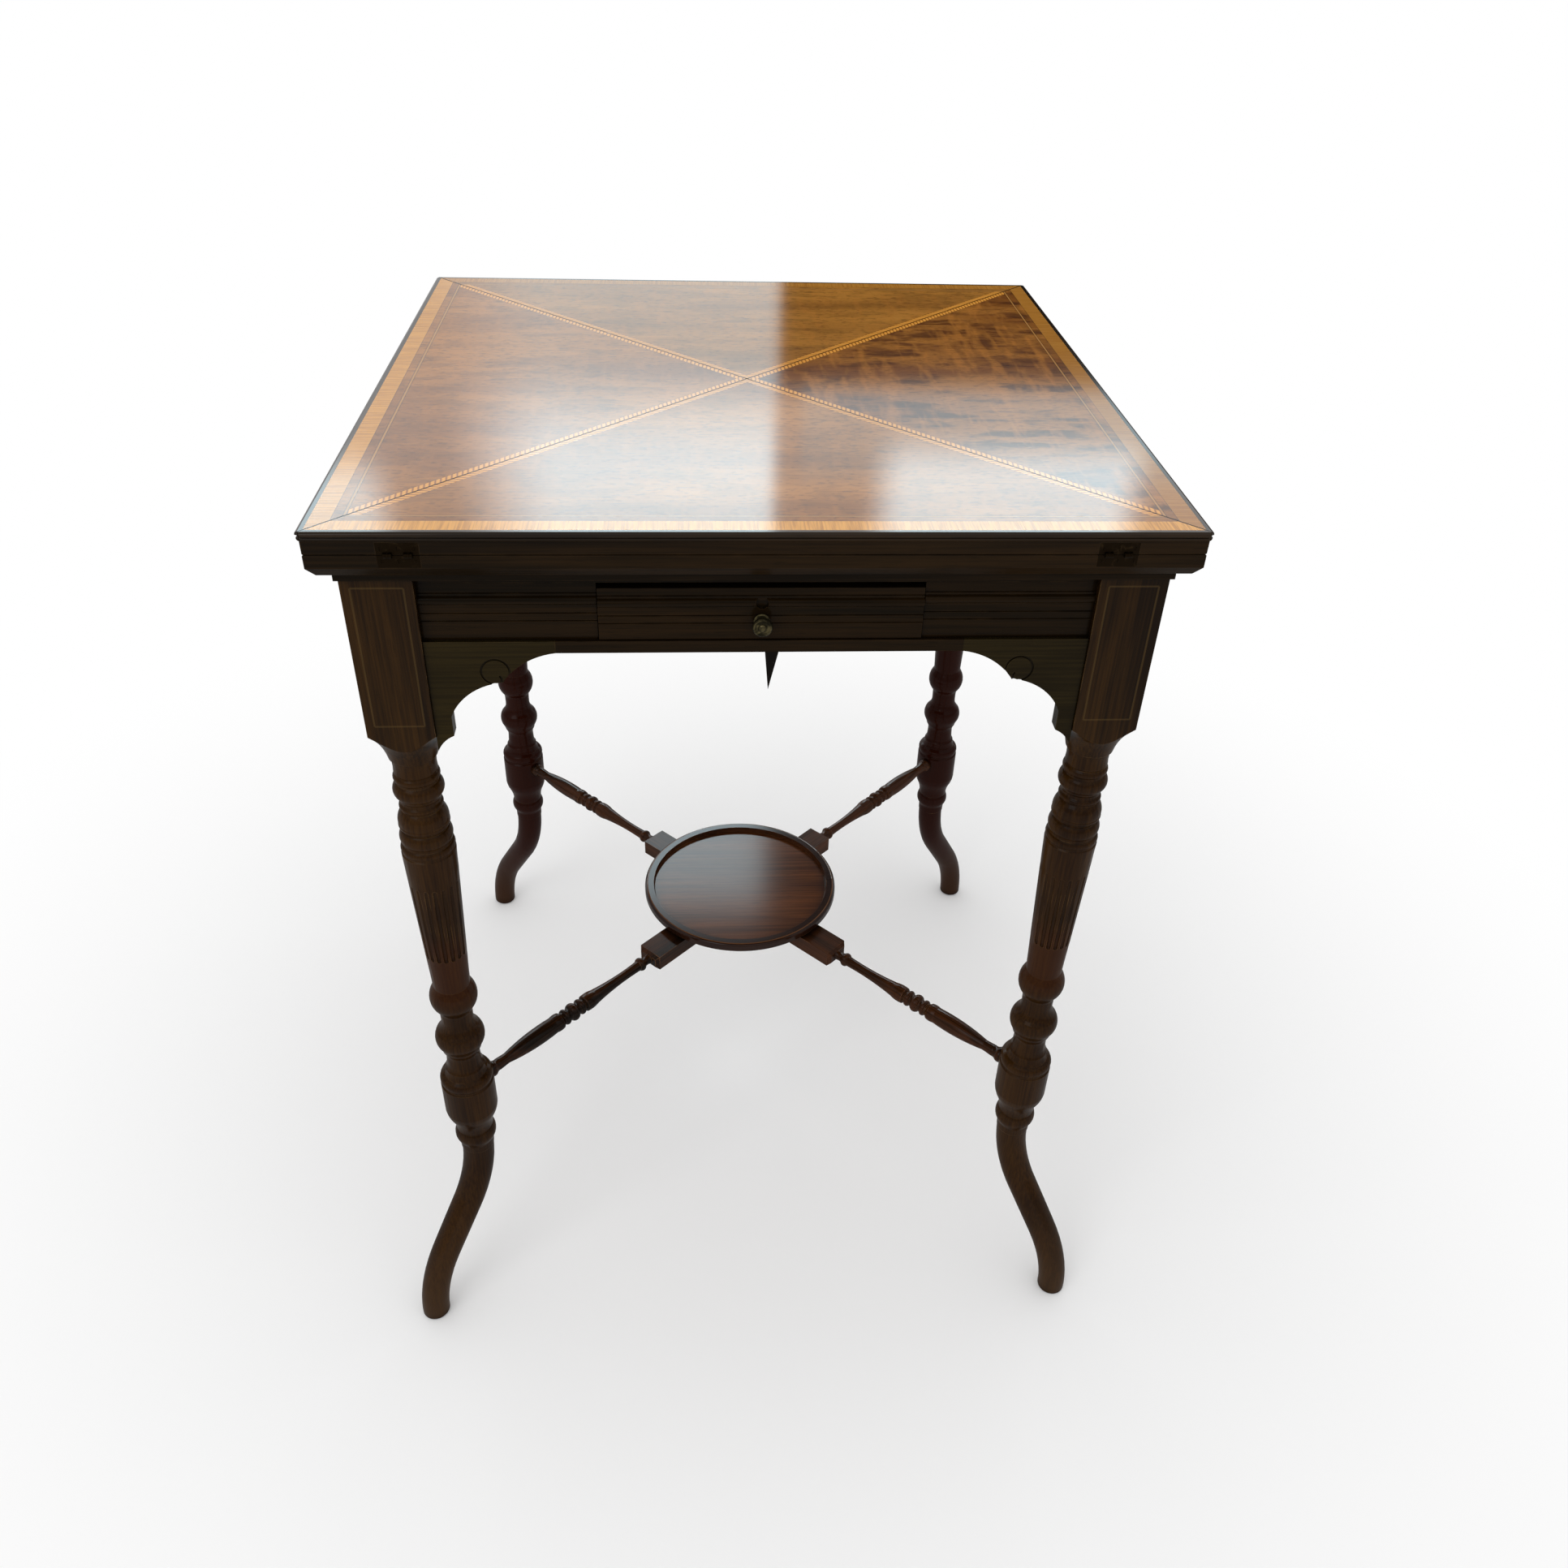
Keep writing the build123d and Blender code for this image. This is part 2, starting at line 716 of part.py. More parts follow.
# Stop peg: a dowel standing in the bearer, which runs in the board's curved groove
with BuildPart() as stop_peg:
    with BuildSketch(Plane.XY.offset(frame_top - stop_peg_seat)):
        with Locations((stop_peg_across, stop_peg_back)):
            Circle(stop_peg_radius)
    extrude(amount=stop_peg_seat + stop_peg_rise)
    chamfer(stop_peg.edges().group_by(Axis.Z)[-1], length=stop_peg_chamfer)
stop_peg.part.label = "stop_peg"
export_step(stop_peg.part, "parts/stop_peg.step")


def slotted_screw(head_radius, shank_radius, length, slot_width, slot_depth, spare=0.0):
    """A countersunk screw pointing down from the XY plane, or its hole when some spare room is given."""
    head_height = head_radius - shank_radius
    with BuildPart() as screw:
        with BuildSketch(Plane.XZ):
            with BuildLine():
                Polyline(
                    (0, 0),
                    (head_radius + spare, 0),
                    (shank_radius + spare, -head_height),
                    (shank_radius + spare, -length),
                    (0, -length),
                    close=True,
                )
            make_face()
        revolve(axis=Axis.Z)
        if spare == 0:
            with BuildSketch(Plane.XY):
                Rectangle(2 * head_radius, slot_width)
            extrude(amount=-slot_depth, mode=Mode.SUBTRACT)
    return screw.part


# Hinges: a plate let into the leaf's edge, a plate let into the board's edge, and pins at the seam
plate_middle = (hinge_plate_height + hinge_seam_gap) / 2
plate_high = hinge_plate_height - hinge_seam_gap
crossings = [-hinge_crossing_spacing / 2, hinge_crossing_spacing / 2]
knuckle_width = knuckle_pitch - knuckle_gap
knuckle_room = knuckle_pitch + knuckle_gap
hinge_screw = slotted_screw(
    hinge_screw_head_radius,
    hinge_screw_shank_radius,
    hinge_screw_length,
    hinge_screw_slot_width,
    hinge_screw_slot_depth,
)
hinge_screw_hole = slotted_screw(
    hinge_screw_head_radius,
    hinge_screw_shank_radius,
    hinge_screw_length + glue_clearance,
    hinge_screw_slot_width,
    hinge_screw_slot_depth,
    glue_clearance,
)


def screw_locations(side):
    """Places of the screws in the front hinge plates: side is 1 for the leaf's plates, -1 for the board's."""
    height = seam_height + side * plate_middle
    return [
        Plane(origin=(place + step * hinge_screw_spacing / 2, -half_top, height), z_dir=(0, -1, 0)).location
        for place in hinge_places
        for step in (-1, 0, 1)
    ]


def hinge_seats(side):
    """Recesses and screw holes for the front hinge plates of the leaf (side 1) or of the board (side -1)."""
    with BuildPart() as seats:
        with BuildSketch(Plane.XZ.offset(half_top)):
            with Locations(*[(place, seam_height + side * hinge_plate_height / 2) for place in hinge_places]):
                Rectangle(hinge_width + glue_clearance, hinge_plate_height + glue_clearance)
        extrude(amount=-hinge_plate_thickness - glue_clearance)
        with Locations(*screw_locations(side)):
            add(hinge_screw_hole)
    return seats.part


def hinge_plates(side):
    """The pair of front hinge plates of the leaf (side 1) or of the board (side -1), with their knuckles."""
    own = [0] if side == 1 else [-knuckle_pitch, knuckle_pitch]
    other = [-knuckle_pitch, knuckle_pitch] if side == 1 else [0]
    bore = hinge_pin_radius + (hinge_pin_clearance if side == 1 else glue_clearance)
    barrels = [place + crossing for place in hinge_places for crossing in crossings]
    with BuildPart() as plates:
        with BuildSketch(Plane.XZ.offset(half_top)):
            with Locations(*[(place, seam_height + side * plate_middle) for place in hinge_places]):
                Rectangle(hinge_width, plate_high)
        extrude(amount=-hinge_plate_thickness)
        for barrel in barrels:
            for step in other:
                with BuildSketch(Plane.YZ.offset(barrel + step - knuckle_room / 2)):
                    with Locations((hinge_axis_y, seam_height)):
                        Circle(knuckle_radius + knuckle_clearance)
                extrude(amount=knuckle_room, mode=Mode.SUBTRACT)
            for step in own:
                with BuildSketch(Plane.YZ.offset(barrel + step - knuckle_width / 2)):
                    with Locations((hinge_axis_y, seam_height)):
                        Circle(knuckle_radius)
                extrude(amount=knuckle_width)
            with BuildSketch(Plane.YZ.offset(barrel - 2 * knuckle_pitch)):
                with Locations((hinge_axis_y, seam_height)):
                    Circle(bore)
            extrude(amount=4 * knuckle_pitch, mode=Mode.SUBTRACT)
        with Locations(*screw_locations(side)):
            add(hinge_screw_hole, mode=Mode.SUBTRACT)
    return plates.part


leaf_plates = hinge_plates(1)
board_plates = hinge_plates(-1)

with BuildPart() as front_pins:
    for place in hinge_places:
        for crossing in crossings:
            with BuildSketch(Plane.YZ.offset(place + crossing - knuckle_pitch - knuckle_width / 2)):
                with Locations((hinge_axis_y, seam_height)):
                    Circle(hinge_pin_radius)
            extrude(amount=2 * knuckle_pitch + knuckle_width)


def screws_at(side):
    """The screws of the front hinge plates of the leaf (side 1) or of the board (side -1)."""
    with BuildPart() as screws:
        with Locations(*screw_locations(side)):
            add(hinge_screw)
    return screws.part


leaf_screws = screws_at(1)
board_screws = screws_at(-1)


def all_sides(part, name):
    """Write one node with a copy of a front piece on each of the four sides."""
    turned = [part.rotate(Axis.Z, angle) for angle in turn_places.values()]
    node = Compound(children=[Solid(solid.wrapped) for copy in turned for solid in copy.solids()])
    node.label = name
    export_step(node, f"parts/{name}.step")


all_sides(board_plates, "board_hinges")
all_sides(front_pins.part, "hinge_pins")
all_sides(board_screws, "board_hinge_screws")

# Board: square panel with chamfered lower edge, baize recess, pivot seat, hinge recesses and stop groove
baize_floor = seam_height - baize_depth
with BuildPart() as board:
    with BuildSketch(Plane.XY.offset(board_bottom + board_chamfer_height)):
        Rectangle(top_side, top_side)
    extrude(amount=board_thickness - board_chamfer_height)
    chamfer(board.edges().group_by(Axis.Z)[-1], length=seam_arris)
    with BuildSketch(Plane.XY.offset(board_bottom + board_chamfer_height)):
        Rectangle(top_side, top_side)
    with BuildSketch(Plane.XY.offset(board_bottom)):
        Rectangle(top_side - 2 * board_chamfer_depth, top_side - 2 * board_chamfer_depth)
    loft(ruled=True)
    with BuildSketch(Plane.XY.offset(seam_height)):
        Rectangle(top_side - 2 * baize_hinge_margin, top_side - 2 * baize_hinge_margin)
    extrude(amount=-baize_depth, mode=Mode.SUBTRACT)
    with BuildSketch(Plane.XY.offset(baize_floor)):
        Circle(pivot_head_radius + glue_clearance)
    extrude(amount=-pivot_head_height - glue_clearance, mode=Mode.SUBTRACT)
    with BuildSketch(Plane.XY.offset(baize_floor - pivot_head_height)):
        Rectangle(pivot_square_side + glue_clearance, pivot_square_side + glue_clearance)
    extrude(amount=-pivot_square_height - glue_clearance, mode=Mode.SUBTRACT)
    with BuildSketch(Plane.XY.offset(board_bottom)):
        Circle(pivot_radius + glue_clearance)
    extrude(amount=board_thickness, mode=Mode.SUBTRACT)
    with BuildSketch(Plane.XY.offset(board_bottom)):
        SlotArc(
            CenterArc((0, 0), stop_peg_distance, stop_peg_angle - turn_angle, turn_angle, mode=Mode.PRIVATE),
            height=2 * (stop_peg_radius + stop_groove_clearance),
        )
    extrude(amount=stop_groove_depth, mode=Mode.SUBTRACT)
    with PolarLocations(0, len(turn_places)):
        add(hinge_seats(-1), mode=Mode.SUBTRACT)
board.part.label = "board"
export_step(board.part, "parts/board.step")

baize_side = top_side - 2 * (baize_hinge_margin + baize_edge_gap)
with BuildPart() as board_baize:
    with BuildSketch(Plane.XY.offset(baize_floor)):
        Rectangle(baize_side, baize_side)
    extrude(amount=baize_thickness)
board_baize.part.label = "board_baize"
export_step(board_baize.part, "parts/board_baize.step")

# Leaf: triangle of the top whose outer edge, where it is hinged, has a nose of lip, quirk and bead, baize let
# into its inner face
joint_inset = leaf_joint_gap * diagonal
nose_end = half_top + 2 * hinge_axis_reach - nose_reach - leaf_joint_gap
nose_bottom = table_height - nose_height
bead_top = nose_bottom + nose_bead_height
lip_bottom = bead_top + nose_quirk_height
baize_base = half_top - baize_hinge_margin
border_inset = baize_border * sqrt(2)


def baize_triangle(inset):
    """Draw the baize field of the front leaf, made smaller by an inset."""
    low = -(baize_base - inset)
    reach = -low - border_inset - inset * sqrt(2)
    Polygon((-reach, low), (reach, low), (0, -border_inset - inset * sqrt(2)), align=None)


with BuildPart() as leaf:
    with BuildSketch(Plane.YZ.offset(-half_top)):
        with BuildLine():
            Polyline(
                (-half_top, nose_bottom),
                (-half_top, seam_height + seam_arris),
                (-half_top + seam_arris, seam_height),
                (0, seam_height),
                (0, table_height),
                (-half_top, table_height),
            )
            bulged(
                [
                    (-half_top, table_height, 0),
                    (-half_top - nose_reach, lip_bottom, nose_lip_bow_share),
                    (-half_top - nose_quirk_reach, lip_bottom, 0),
                    (-half_top - nose_quirk_reach, bead_top, 0),
                    (-half_top, nose_bottom, nose_bead_bow_share),
                ]
            )
        make_face()
    extrude(amount=top_side)
    with BuildSketch(Plane.XY.offset(seam_height)):
        Polygon(
            (0, -joint_inset),
            (-(half_top - joint_inset), -half_top),
            (-nose_end, -half_top - nose_reach),
            (nose_end, -half_top - nose_reach),
            (half_top - joint_inset, -half_top),
            align=None,
        )
    extrude(amount=leaf_thickness, mode=Mode.INTERSECT)
    fillet(leaf.edges().filter_by(Axis.Z).sort_by(Axis.Y)[-1], radius=leaf_tip_radius)
    with BuildSketch(Plane.XY.offset(seam_height)):
        baize_triangle(0)
    extrude(amount=baize_depth, mode=Mode.SUBTRACT)
    add(hinge_seats(1), mode=Mode.SUBTRACT)

with BuildPart() as leaf_baize:
    with BuildSketch(Plane.XY.offset(seam_height + baize_depth)):
        baize_triangle(baize_edge_gap)
    extrude(amount=-baize_thickness)

for place, angle in turn_places.items():
    turned_to(leaf.part, angle, f"leaf_{place}")
    turned_to(leaf_baize.part, angle, f"leaf_baize_{place}")
    turned_to(leaf_plates, angle, f"leaf_hinges_{place}")
    turned_to(leaf_screws, angle, f"leaf_screws_{place}")

# Pivot: round-headed square-necked bolt let into the board under the baize, washer and nut under the bearer
nut_top = bearer_bottom - washer_thickness - 2 * pivot_clearance
shank_bottom = nut_top - nut_height - pivot_end_reach
square_bottom = baize_floor - pivot_head_height - pivot_square_height
with BuildPart() as pivot_bolt:
    with BuildSketch(Plane.XY.offset(baize_floor)):
        Circle(pivot_head_radius)
    extrude(amount=-pivot_head_height)
    with BuildSketch(Plane.XY.offset(square_bottom)):
        Rectangle(pivot_square_side, pivot_square_side)
    extrude(amount=pivot_square_height)
    with BuildSketch(Plane.XY.offset(shank_bottom)):
        Circle(pivot_radius)
    extrude(amount=square_bottom - shank_bottom)
    chamfer(pivot_bolt.edges().group_by(Axis.Z)[0], length=pivot_end_chamfer)
pivot_bolt.part.label = "pivot_bolt"
export_step(pivot_bolt.part, "parts/pivot_bolt.step")

with BuildPart() as pivot_washer:
    with BuildSketch(Plane.XY.offset(nut_top)):
        Circle(washer_radius)
        Circle(pivot_radius + pivot_clearance, mode=Mode.SUBTRACT)
    extrude(amount=washer_thickness)
pivot_washer.part.label = "pivot_washer"
export_step(pivot_washer.part, "parts/pivot_washer.step")

with BuildPart() as pivot_nut:
    with BuildSketch(Plane.XY.offset(nut_top)):
        RegularPolygon(nut_across_flats / 2, 6, major_radius=False)
        Circle(pivot_radius + glue_clearance, mode=Mode.SUBTRACT)
    extrude(amount=-nut_height)
pivot_nut.part.label = "pivot_nut"
export_step(pivot_nut.part, "parts/pivot_nut.step")

# Drawer: moulded front with lapped sides, and a back and bottom held in grooves
drawer_half = drawer_opening_width / 2 - drawer_side_gap
drawer_face = field_face + drawer_proud
drawer_base = field_bottom + drawer_run_gap
front_back = drawer_face - drawer_front_thickness
bearer_front = -bearer_width / 2
drawer_end = bearer_front - drawer_bearer_gap
drawer_bead = field_top - drawer_drop
side_inner = drawer_half - drawer_side_thickness
bottom_low = drawer_base + drawer_bottom_lift
knob_centre = field_bottom + knob_height_share * frieze_field_height
drawer_plane = Plane(origin=(-drawer_half, 0, 0), x_dir=(0, 1, 0), z_dir=(1, 0, 0))

with BuildPart() as drawer_bottom:
    panel_front = -front_back - drawer_groove_depth + glue_clearance
    panel_end = drawer_end - drawer_back_thickness + drawer_groove_depth - glue_clearance
    with BuildSketch(Plane.XY.offset(bottom_low)):
        with Locations((0, (panel_front + panel_end) / 2)):
            Rectangle(2 * (side_inner + drawer_groove_depth - glue_clearance), panel_end - panel_front)
    extrude(amount=drawer_bottom_thickness)
drawer_bottom.part.label = "drawer_bottom"
export_step(drawer_bottom.part, "parts/drawer_bottom.step")

with BuildPart() as bottom_groove:
    with BuildSketch(Plane.XY.offset(bottom_low - glue_clearance)):
        with Locations((0, (panel_front + panel_end) / 2)):
            Rectangle(
                2 * (side_inner + drawer_groove_depth), panel_end - panel_front + 2 * glue_clearance
            )
    extrude(amount=drawer_bottom_thickness + 2 * glue_clearance)

with BuildPart() as drawer_side_left:
    side_front = -front_back - drawer_lap
    with BuildSketch(Plane.XY.offset(drawer_base)):
        with Locations((-(drawer_half + side_inner) / 2, (side_front + drawer_end) / 2)):
            Rectangle(drawer_side_thickness, drawer_end - side_front)
    extrude(amount=drawer_side_height)
    add(bottom_groove.part, mode=Mode.SUBTRACT)
both_sides(drawer_side_left.part, "drawer_sides")

with BuildPart() as drawer_back:
    with BuildSketch(Plane.XY.offset(drawer_base + drawer_back_lift)):
        with Locations((0, drawer_end - drawer_back_thickness / 2)):
            Rectangle(2 * side_inner, drawer_back_thickness)
    extrude(amount=drawer_side_height - 2 * drawer_back_lift)
    add(bottom_groove.part, mode=Mode.SUBTRACT)
drawer_back.part.label = "drawer_back"
export_step(drawer_back.part, "parts/drawer_back.step")

with BuildPart() as drawer_front:
    with BuildSketch(drawer_plane):
        with BuildLine():
            frieze_outline(
                -drawer_face,
                -front_back,
                field_bottom + drawer_sill_gap,
                panel_top - drawer_top_gap,
                drawer_bead,
            )
        make_face()
    extrude(amount=2 * drawer_half)
    for end in (-1, 1):
        with BuildSketch(Plane.XY.offset(drawer_base - cut_overrun)):
            with Locations((end * (drawer_half - drawer_side_thickness / 2 + cut_overrun / 2), -front_back)):
                Rectangle(drawer_side_thickness + cut_overrun, 2 * drawer_lap)
        extrude(amount=drawer_side_height + cut_overrun, mode=Mode.SUBTRACT)
    add(bottom_groove.part, mode=Mode.SUBTRACT)
    with BuildSketch(Plane.XZ.offset(drawer_face - bead_notch_depth)):
        with Locations((0, drawer_bead + frieze_bead_height / 2)):
            Circle(bead_notch_width / 2)
    extrude(amount=bead_notch_depth + frieze_bead_reach + cut_overrun, mode=Mode.SUBTRACT)
    with BuildSketch(Plane.XZ.offset(drawer_face)):
        with Locations((0, knob_centre)):
            Circle(knob_screw_radius + glue_clearance)
    extrude(amount=-knob_screw_length - glue_clearance, mode=Mode.SUBTRACT)
drawer_front.part.label = "drawer_front"
export_step(drawer_front.part, "parts/drawer_front.step")

# Knob: turned brass, screwed into the drawer front
with BuildPart() as drawer_knob:
    with BuildSketch(Plane(origin=(0, -drawer_face, knob_centre), x_dir=(0, -1, 0), z_dir=(1, 0, 0))):
        with BuildLine():
            bulged(
                [(-knob_screw_length, 0, 0), (-knob_screw_length, -knob_screw_radius, 0)]
                + [(0, -knob_screw_radius, 0)]
                + [(reach * knob_reach, -radius * knob_radius, bulge) for reach, radius, bulge in knob_shares]
                + [(-knob_screw_length, 0, 0)]
            )
        make_face()
    revolve(axis=Axis((0, 0, knob_centre), (0, 1, 0)))
drawer_knob.part.label = "drawer_knob"
export_step(drawer_knob.part, "parts/drawer_knob.step")

# Runners with guides, kickers over the drawer sides, and stops behind them
guide_inner = drawer_opening_width / 2
runner_inner = guide_inner - runner_overlap
kicker_bottom = drawer_base + drawer_side_height + kicker_gap

with BuildPart() as runner:
    with BuildSketch(Plane.XY.offset(rail_bottom_height)):
        with Locations((runner_inner + runner_width / 2, (bottom_rail_back + rail_inner) / 2)):
            Rectangle(runner_width, rail_inner - bottom_rail_back)
    extrude(amount=frieze_bottom_rise)
    with BuildSketch(Plane.XY.offset(field_bottom)):
        with Locations((guide_inner + guide_width / 2, (bearer_front - rail_inner) / 2)):
            Rectangle(guide_width, rail_inner + bearer_front)
    extrude(amount=guide_height)
both_sides(runner.part, "drawer_runners")

with BuildPart() as kicker:
    kicker_front = -plain_face + top_rail_depth
    with BuildSketch(Plane.XY.offset(kicker_bottom)):
        with Locations((guide_inner, (kicker_front + bearer_front) / 2)):
            Rectangle(kicker_width, bearer_front - kicker_front)
    extrude(amount=block_top - kicker_bottom)
both_sides(kicker.part, "drawer_kickers")

with BuildPart() as drawer_stop:
    stop_front = drawer_end + drawer_stop_gap
    with BuildSketch(Plane.XY.offset(field_bottom)):
        with Locations((runner_inner + runner_overlap / 2, stop_front + drawer_stop_length / 2)):
            Rectangle(runner_overlap, drawer_stop_length)
    extrude(amount=drawer_stop_height)
both_sides(drawer_stop.part, "drawer_stops")

# Hanging catch: a pointed plate on a screw in the back of the bottom rail; its tail stops the drawer's back
catch_back = bottom_rail_back + catch_gap
catch_half = catch_width / 2
catch_tip_height = catch_pivot_height - catch_drop
catch_taper_height = catch_pivot_height - catch_drop * catch_taper_share
with BuildPart() as drawer_catch:
    with BuildSketch(Plane.XZ.offset(-catch_back)):
        with BuildLine():
            shoulder = catch_pivot_height + catch_tail - catch_half
            ThreePointArc(
                (catch_offset + catch_half, shoulder),
                (catch_offset, catch_pivot_height + catch_tail),
                (catch_offset - catch_half, shoulder),
            )
            Polyline(
                (catch_offset - catch_half, shoulder),
                (catch_offset - catch_half, catch_taper_height),
                (catch_offset - catch_half + catch_tip_share * catch_width, catch_tip_height),
                (catch_offset + catch_half, catch_taper_height),
                (catch_offset + catch_half, shoulder),
            )
        make_face()
        with Locations((catch_offset, catch_pivot_height)):
            Circle(catch_screw_radius + catch_screw_clearance, mode=Mode.SUBTRACT)
    extrude(amount=-catch_thickness)
drawer_catch.part.label = "drawer_catch"
export_step(drawer_catch.part, "parts/drawer_catch.step")

with BuildPart() as catch_screw:
    head_seat = catch_back + catch_thickness + catch_gap
    with BuildSketch(Plane.XZ.offset(-head_seat)):
        with Locations((catch_offset, catch_pivot_height)):
            Circle(catch_screw_head_radius)
    extrude(amount=-catch_screw_head_height)
    fillet(catch_screw.edges().group_by(Axis.Y)[-1], radius=catch_screw_head_round)
    with BuildSketch(Plane.XZ.offset(-head_seat)):
        with Locations((catch_offset, catch_pivot_height)):
            Circle(catch_screw_radius)
    extrude(amount=head_seat - bottom_rail_back + catch_screw_length)
    with BuildSketch(Plane.XZ.offset(-head_seat - catch_screw_head_height)):
        with Locations((catch_offset, catch_pivot_height)):
            Rectangle(2 * catch_screw_head_radius, catch_slot_width)
    extrude(amount=catch_slot_depth, mode=Mode.SUBTRACT)
catch_screw.part.label = "catch_screw"
export_step(catch_screw.part, "parts/catch_screw.step")

# Stretchers: turned rails from the knees of the legs to square blocks that meet at the hub
stretcher_length = leg_distance - knee_radius - stretcher_block_end
block_bottom = stretcher_height - stretcher_block_height / 2
tray_bottom = stretcher_height + stretcher_block_height / 2
inward = Vector(1, 1, 0) * diagonal
leg_point = Vector(-leg_axis_offset, -leg_axis_offset, stretcher_height)
knee_point = leg_point + inward * knee_radius
stretcher_plane = Plane(origin=knee_point, x_dir=(1, 1, 0), z_dir=(1, -1, 0))
stretcher_axis = Axis(knee_point, (1, 1, 0))
knee_overlap = stretcher_tenon_radius / 2
tray_screw_spot = inward * -tray_screw_distance + Vector(0, 0, block_bottom)
tray_screw_length = stretcher_block_height + tray_screw_depth
tray_screw = slotted_screw(
    tray_screw_head_radius,
    tray_screw_radius,
    tray_screw_length,
    tray_screw_slot_width,
    tray_screw_slot_depth,
)
tray_screw_hole = slotted_screw(
    tray_screw_head_radius,
    tray_screw_radius,
    tray_screw_length + glue_clearance,
    tray_screw_slot_width,
    tray_screw_slot_depth,
    glue_clearance,
)
tray_screw_place = Plane(origin=tray_screw_spot, z_dir=(0, 0, -1)).location
block_start = Vector(0, 0, stretcher_height) - inward * stretcher_block_end
hub_face = Vector(0, 0, stretcher_height) - inward * hub_half_width

with BuildPart() as stretcher_block:
    with BuildSketch(Plane(origin=block_start, x_dir=(1, -1, 0), z_dir=(1, 1, 0))):
        Rectangle(stretcher_block_width, stretcher_block_height)
    extrude(amount=stretcher_block_end - hub_half_width)
    leg_end = stretcher_block.faces().sort_by(stretcher_axis)[0]
    chamfer(leg_end.edges(), length=stretcher_block_chamfer)

with BuildPart() as stretcher:
    with BuildSketch(stretcher_plane):
        with BuildLine():
            first_radius = stretcher_shares[0][1] * stretcher_mid_radius
            bulged(
                [
                    (stretcher_length, 0, 0),
                    (-knee_overlap, 0, 0),
                    (-knee_overlap, first_radius, 0),
                ]
                + [
                    (place * stretcher_length, radius * stretcher_mid_radius, -bulge)
                    for place, radius, bulge in stretcher_shares
                ]
                + [(stretcher_length, 0, 0)]
            )
        make_face()
    revolve(axis=stretcher_axis)
    with BuildSketch(Plane.XY.offset(block_bottom)):
        with Locations((-leg_axis_offset, -leg_axis_offset)):
            Circle(knee_radius + glue_clearance)
    extrude(amount=stretcher_block_height, mode=Mode.SUBTRACT)
    with BuildSketch(Plane(origin=knee_point - inward * stretcher_leg_tenon, z_dir=(1, 1, 0))):
        Circle(stretcher_tenon_radius)
    extrude(amount=stretcher_leg_tenon + knee_overlap)
    add(stretcher_block.part)
    with BuildSketch(Plane(origin=hub_face, z_dir=(1, 1, 0))):
        Circle(stretcher_tenon_radius)
    extrude(amount=stretcher_hub_tenon)
    with Locations(tray_screw_place):
        add(tray_screw_hole, mode=Mode.SUBTRACT)

for place, angle in corner_places.items():
    turned_to(stretcher.part, angle, f"stretcher_{place}")

# Hub: square block bored for the four stretchers
with BuildPart() as hub_bore:
    with BuildSketch(Plane(origin=hub_face, z_dir=(1, 1, 0))):
        Circle(stretcher_tenon_radius + glue_clearance)
    extrude(amount=stretcher_hub_tenon + glue_clearance)

with BuildPart() as stretcher_hub:
    with BuildSketch(Plane.XY.offset(block_bottom)):
        Rectangle(2 * hub_half_width, 2 * hub_half_width, rotation=hub_turn)
    extrude(amount=stretcher_block_height)
    with PolarLocations(0, len(corner_places)):
        add(hub_bore.part, mode=Mode.SUBTRACT)
stretcher_hub.part.label = "stretcher_hub"
export_step(stretcher_hub.part, "parts/stretcher_hub.step")

# Tray: turned and dished disc with a moulded edge, screwed down on the stretcher blocks
rim_top = tray_bottom + tray_thickness
dish_floor = rim_top - tray_dish_depth
rim_inner = tray_radius - tray_rim_width
edge_base = tray_bottom + tray_edge_height
tray_outline = [
    (0, tray_bottom, 0),
    (tray_radius - tray_base_inset, tray_bottom, 0),
    (tray_radius - tray_fillet_reach, edge_base, tray_cove_bow_share),
    (tray_radius, edge_base, 0),
    (tray_radius, rim_top - tray_edge_round, 0),
    (tray_radius - tray_edge_round, rim_top, tray_edge_bow_share),
    (rim_inner, rim_top, 0),
    (rim_inner - tray_wall_slope, dish_floor, 0),
    (0, dish_floor, 0),
    (0, tray_bottom, 0),
]
with BuildPart() as tray_screw_cut:
    with Locations(tray_screw_place):
        add(tray_screw_hole)

with BuildPart() as tray:
    with BuildSketch(Plane.XZ):
        with BuildLine():
            bulged(tray_outline)
        make_face()
    revolve(axis=Axis.Z)
    with PolarLocations(0, len(corner_places)):
        add(tray_screw_cut.part, mode=Mode.SUBTRACT)
tray.part.label = "tray"
export_step(tray.part, "parts/tray.step")

with BuildPart() as tray_screw_fitted:
    with Locations(tray_screw_place):
        add(tray_screw)
all_sides(tray_screw_fitted.part, "tray_screws")
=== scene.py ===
"""Envelope card table: the finish of each piece, laid on the solid parts as the table is put together.

Metres. +Z is up, +X is to the right of someone facing the drawer, +Y points away from them.
"""

import math

import bpy
from mathutils import Euler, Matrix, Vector


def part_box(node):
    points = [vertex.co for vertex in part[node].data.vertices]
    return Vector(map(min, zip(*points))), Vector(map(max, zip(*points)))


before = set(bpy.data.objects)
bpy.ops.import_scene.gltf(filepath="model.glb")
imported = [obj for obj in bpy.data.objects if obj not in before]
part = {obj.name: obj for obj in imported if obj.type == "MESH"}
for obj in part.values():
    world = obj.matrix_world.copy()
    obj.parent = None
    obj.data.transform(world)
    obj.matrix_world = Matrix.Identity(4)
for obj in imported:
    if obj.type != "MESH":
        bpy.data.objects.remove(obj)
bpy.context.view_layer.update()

# Legs: each is one length of mahogany, a square block over a turned and fluted shaft with a swept foot.
# The wood is stained nearly black and french polished; the two outer faces of each block carry a
# rectangle of light stringing let into a shallow scratch.
leg_axis_distance = 0.2343
block_half = 0.022
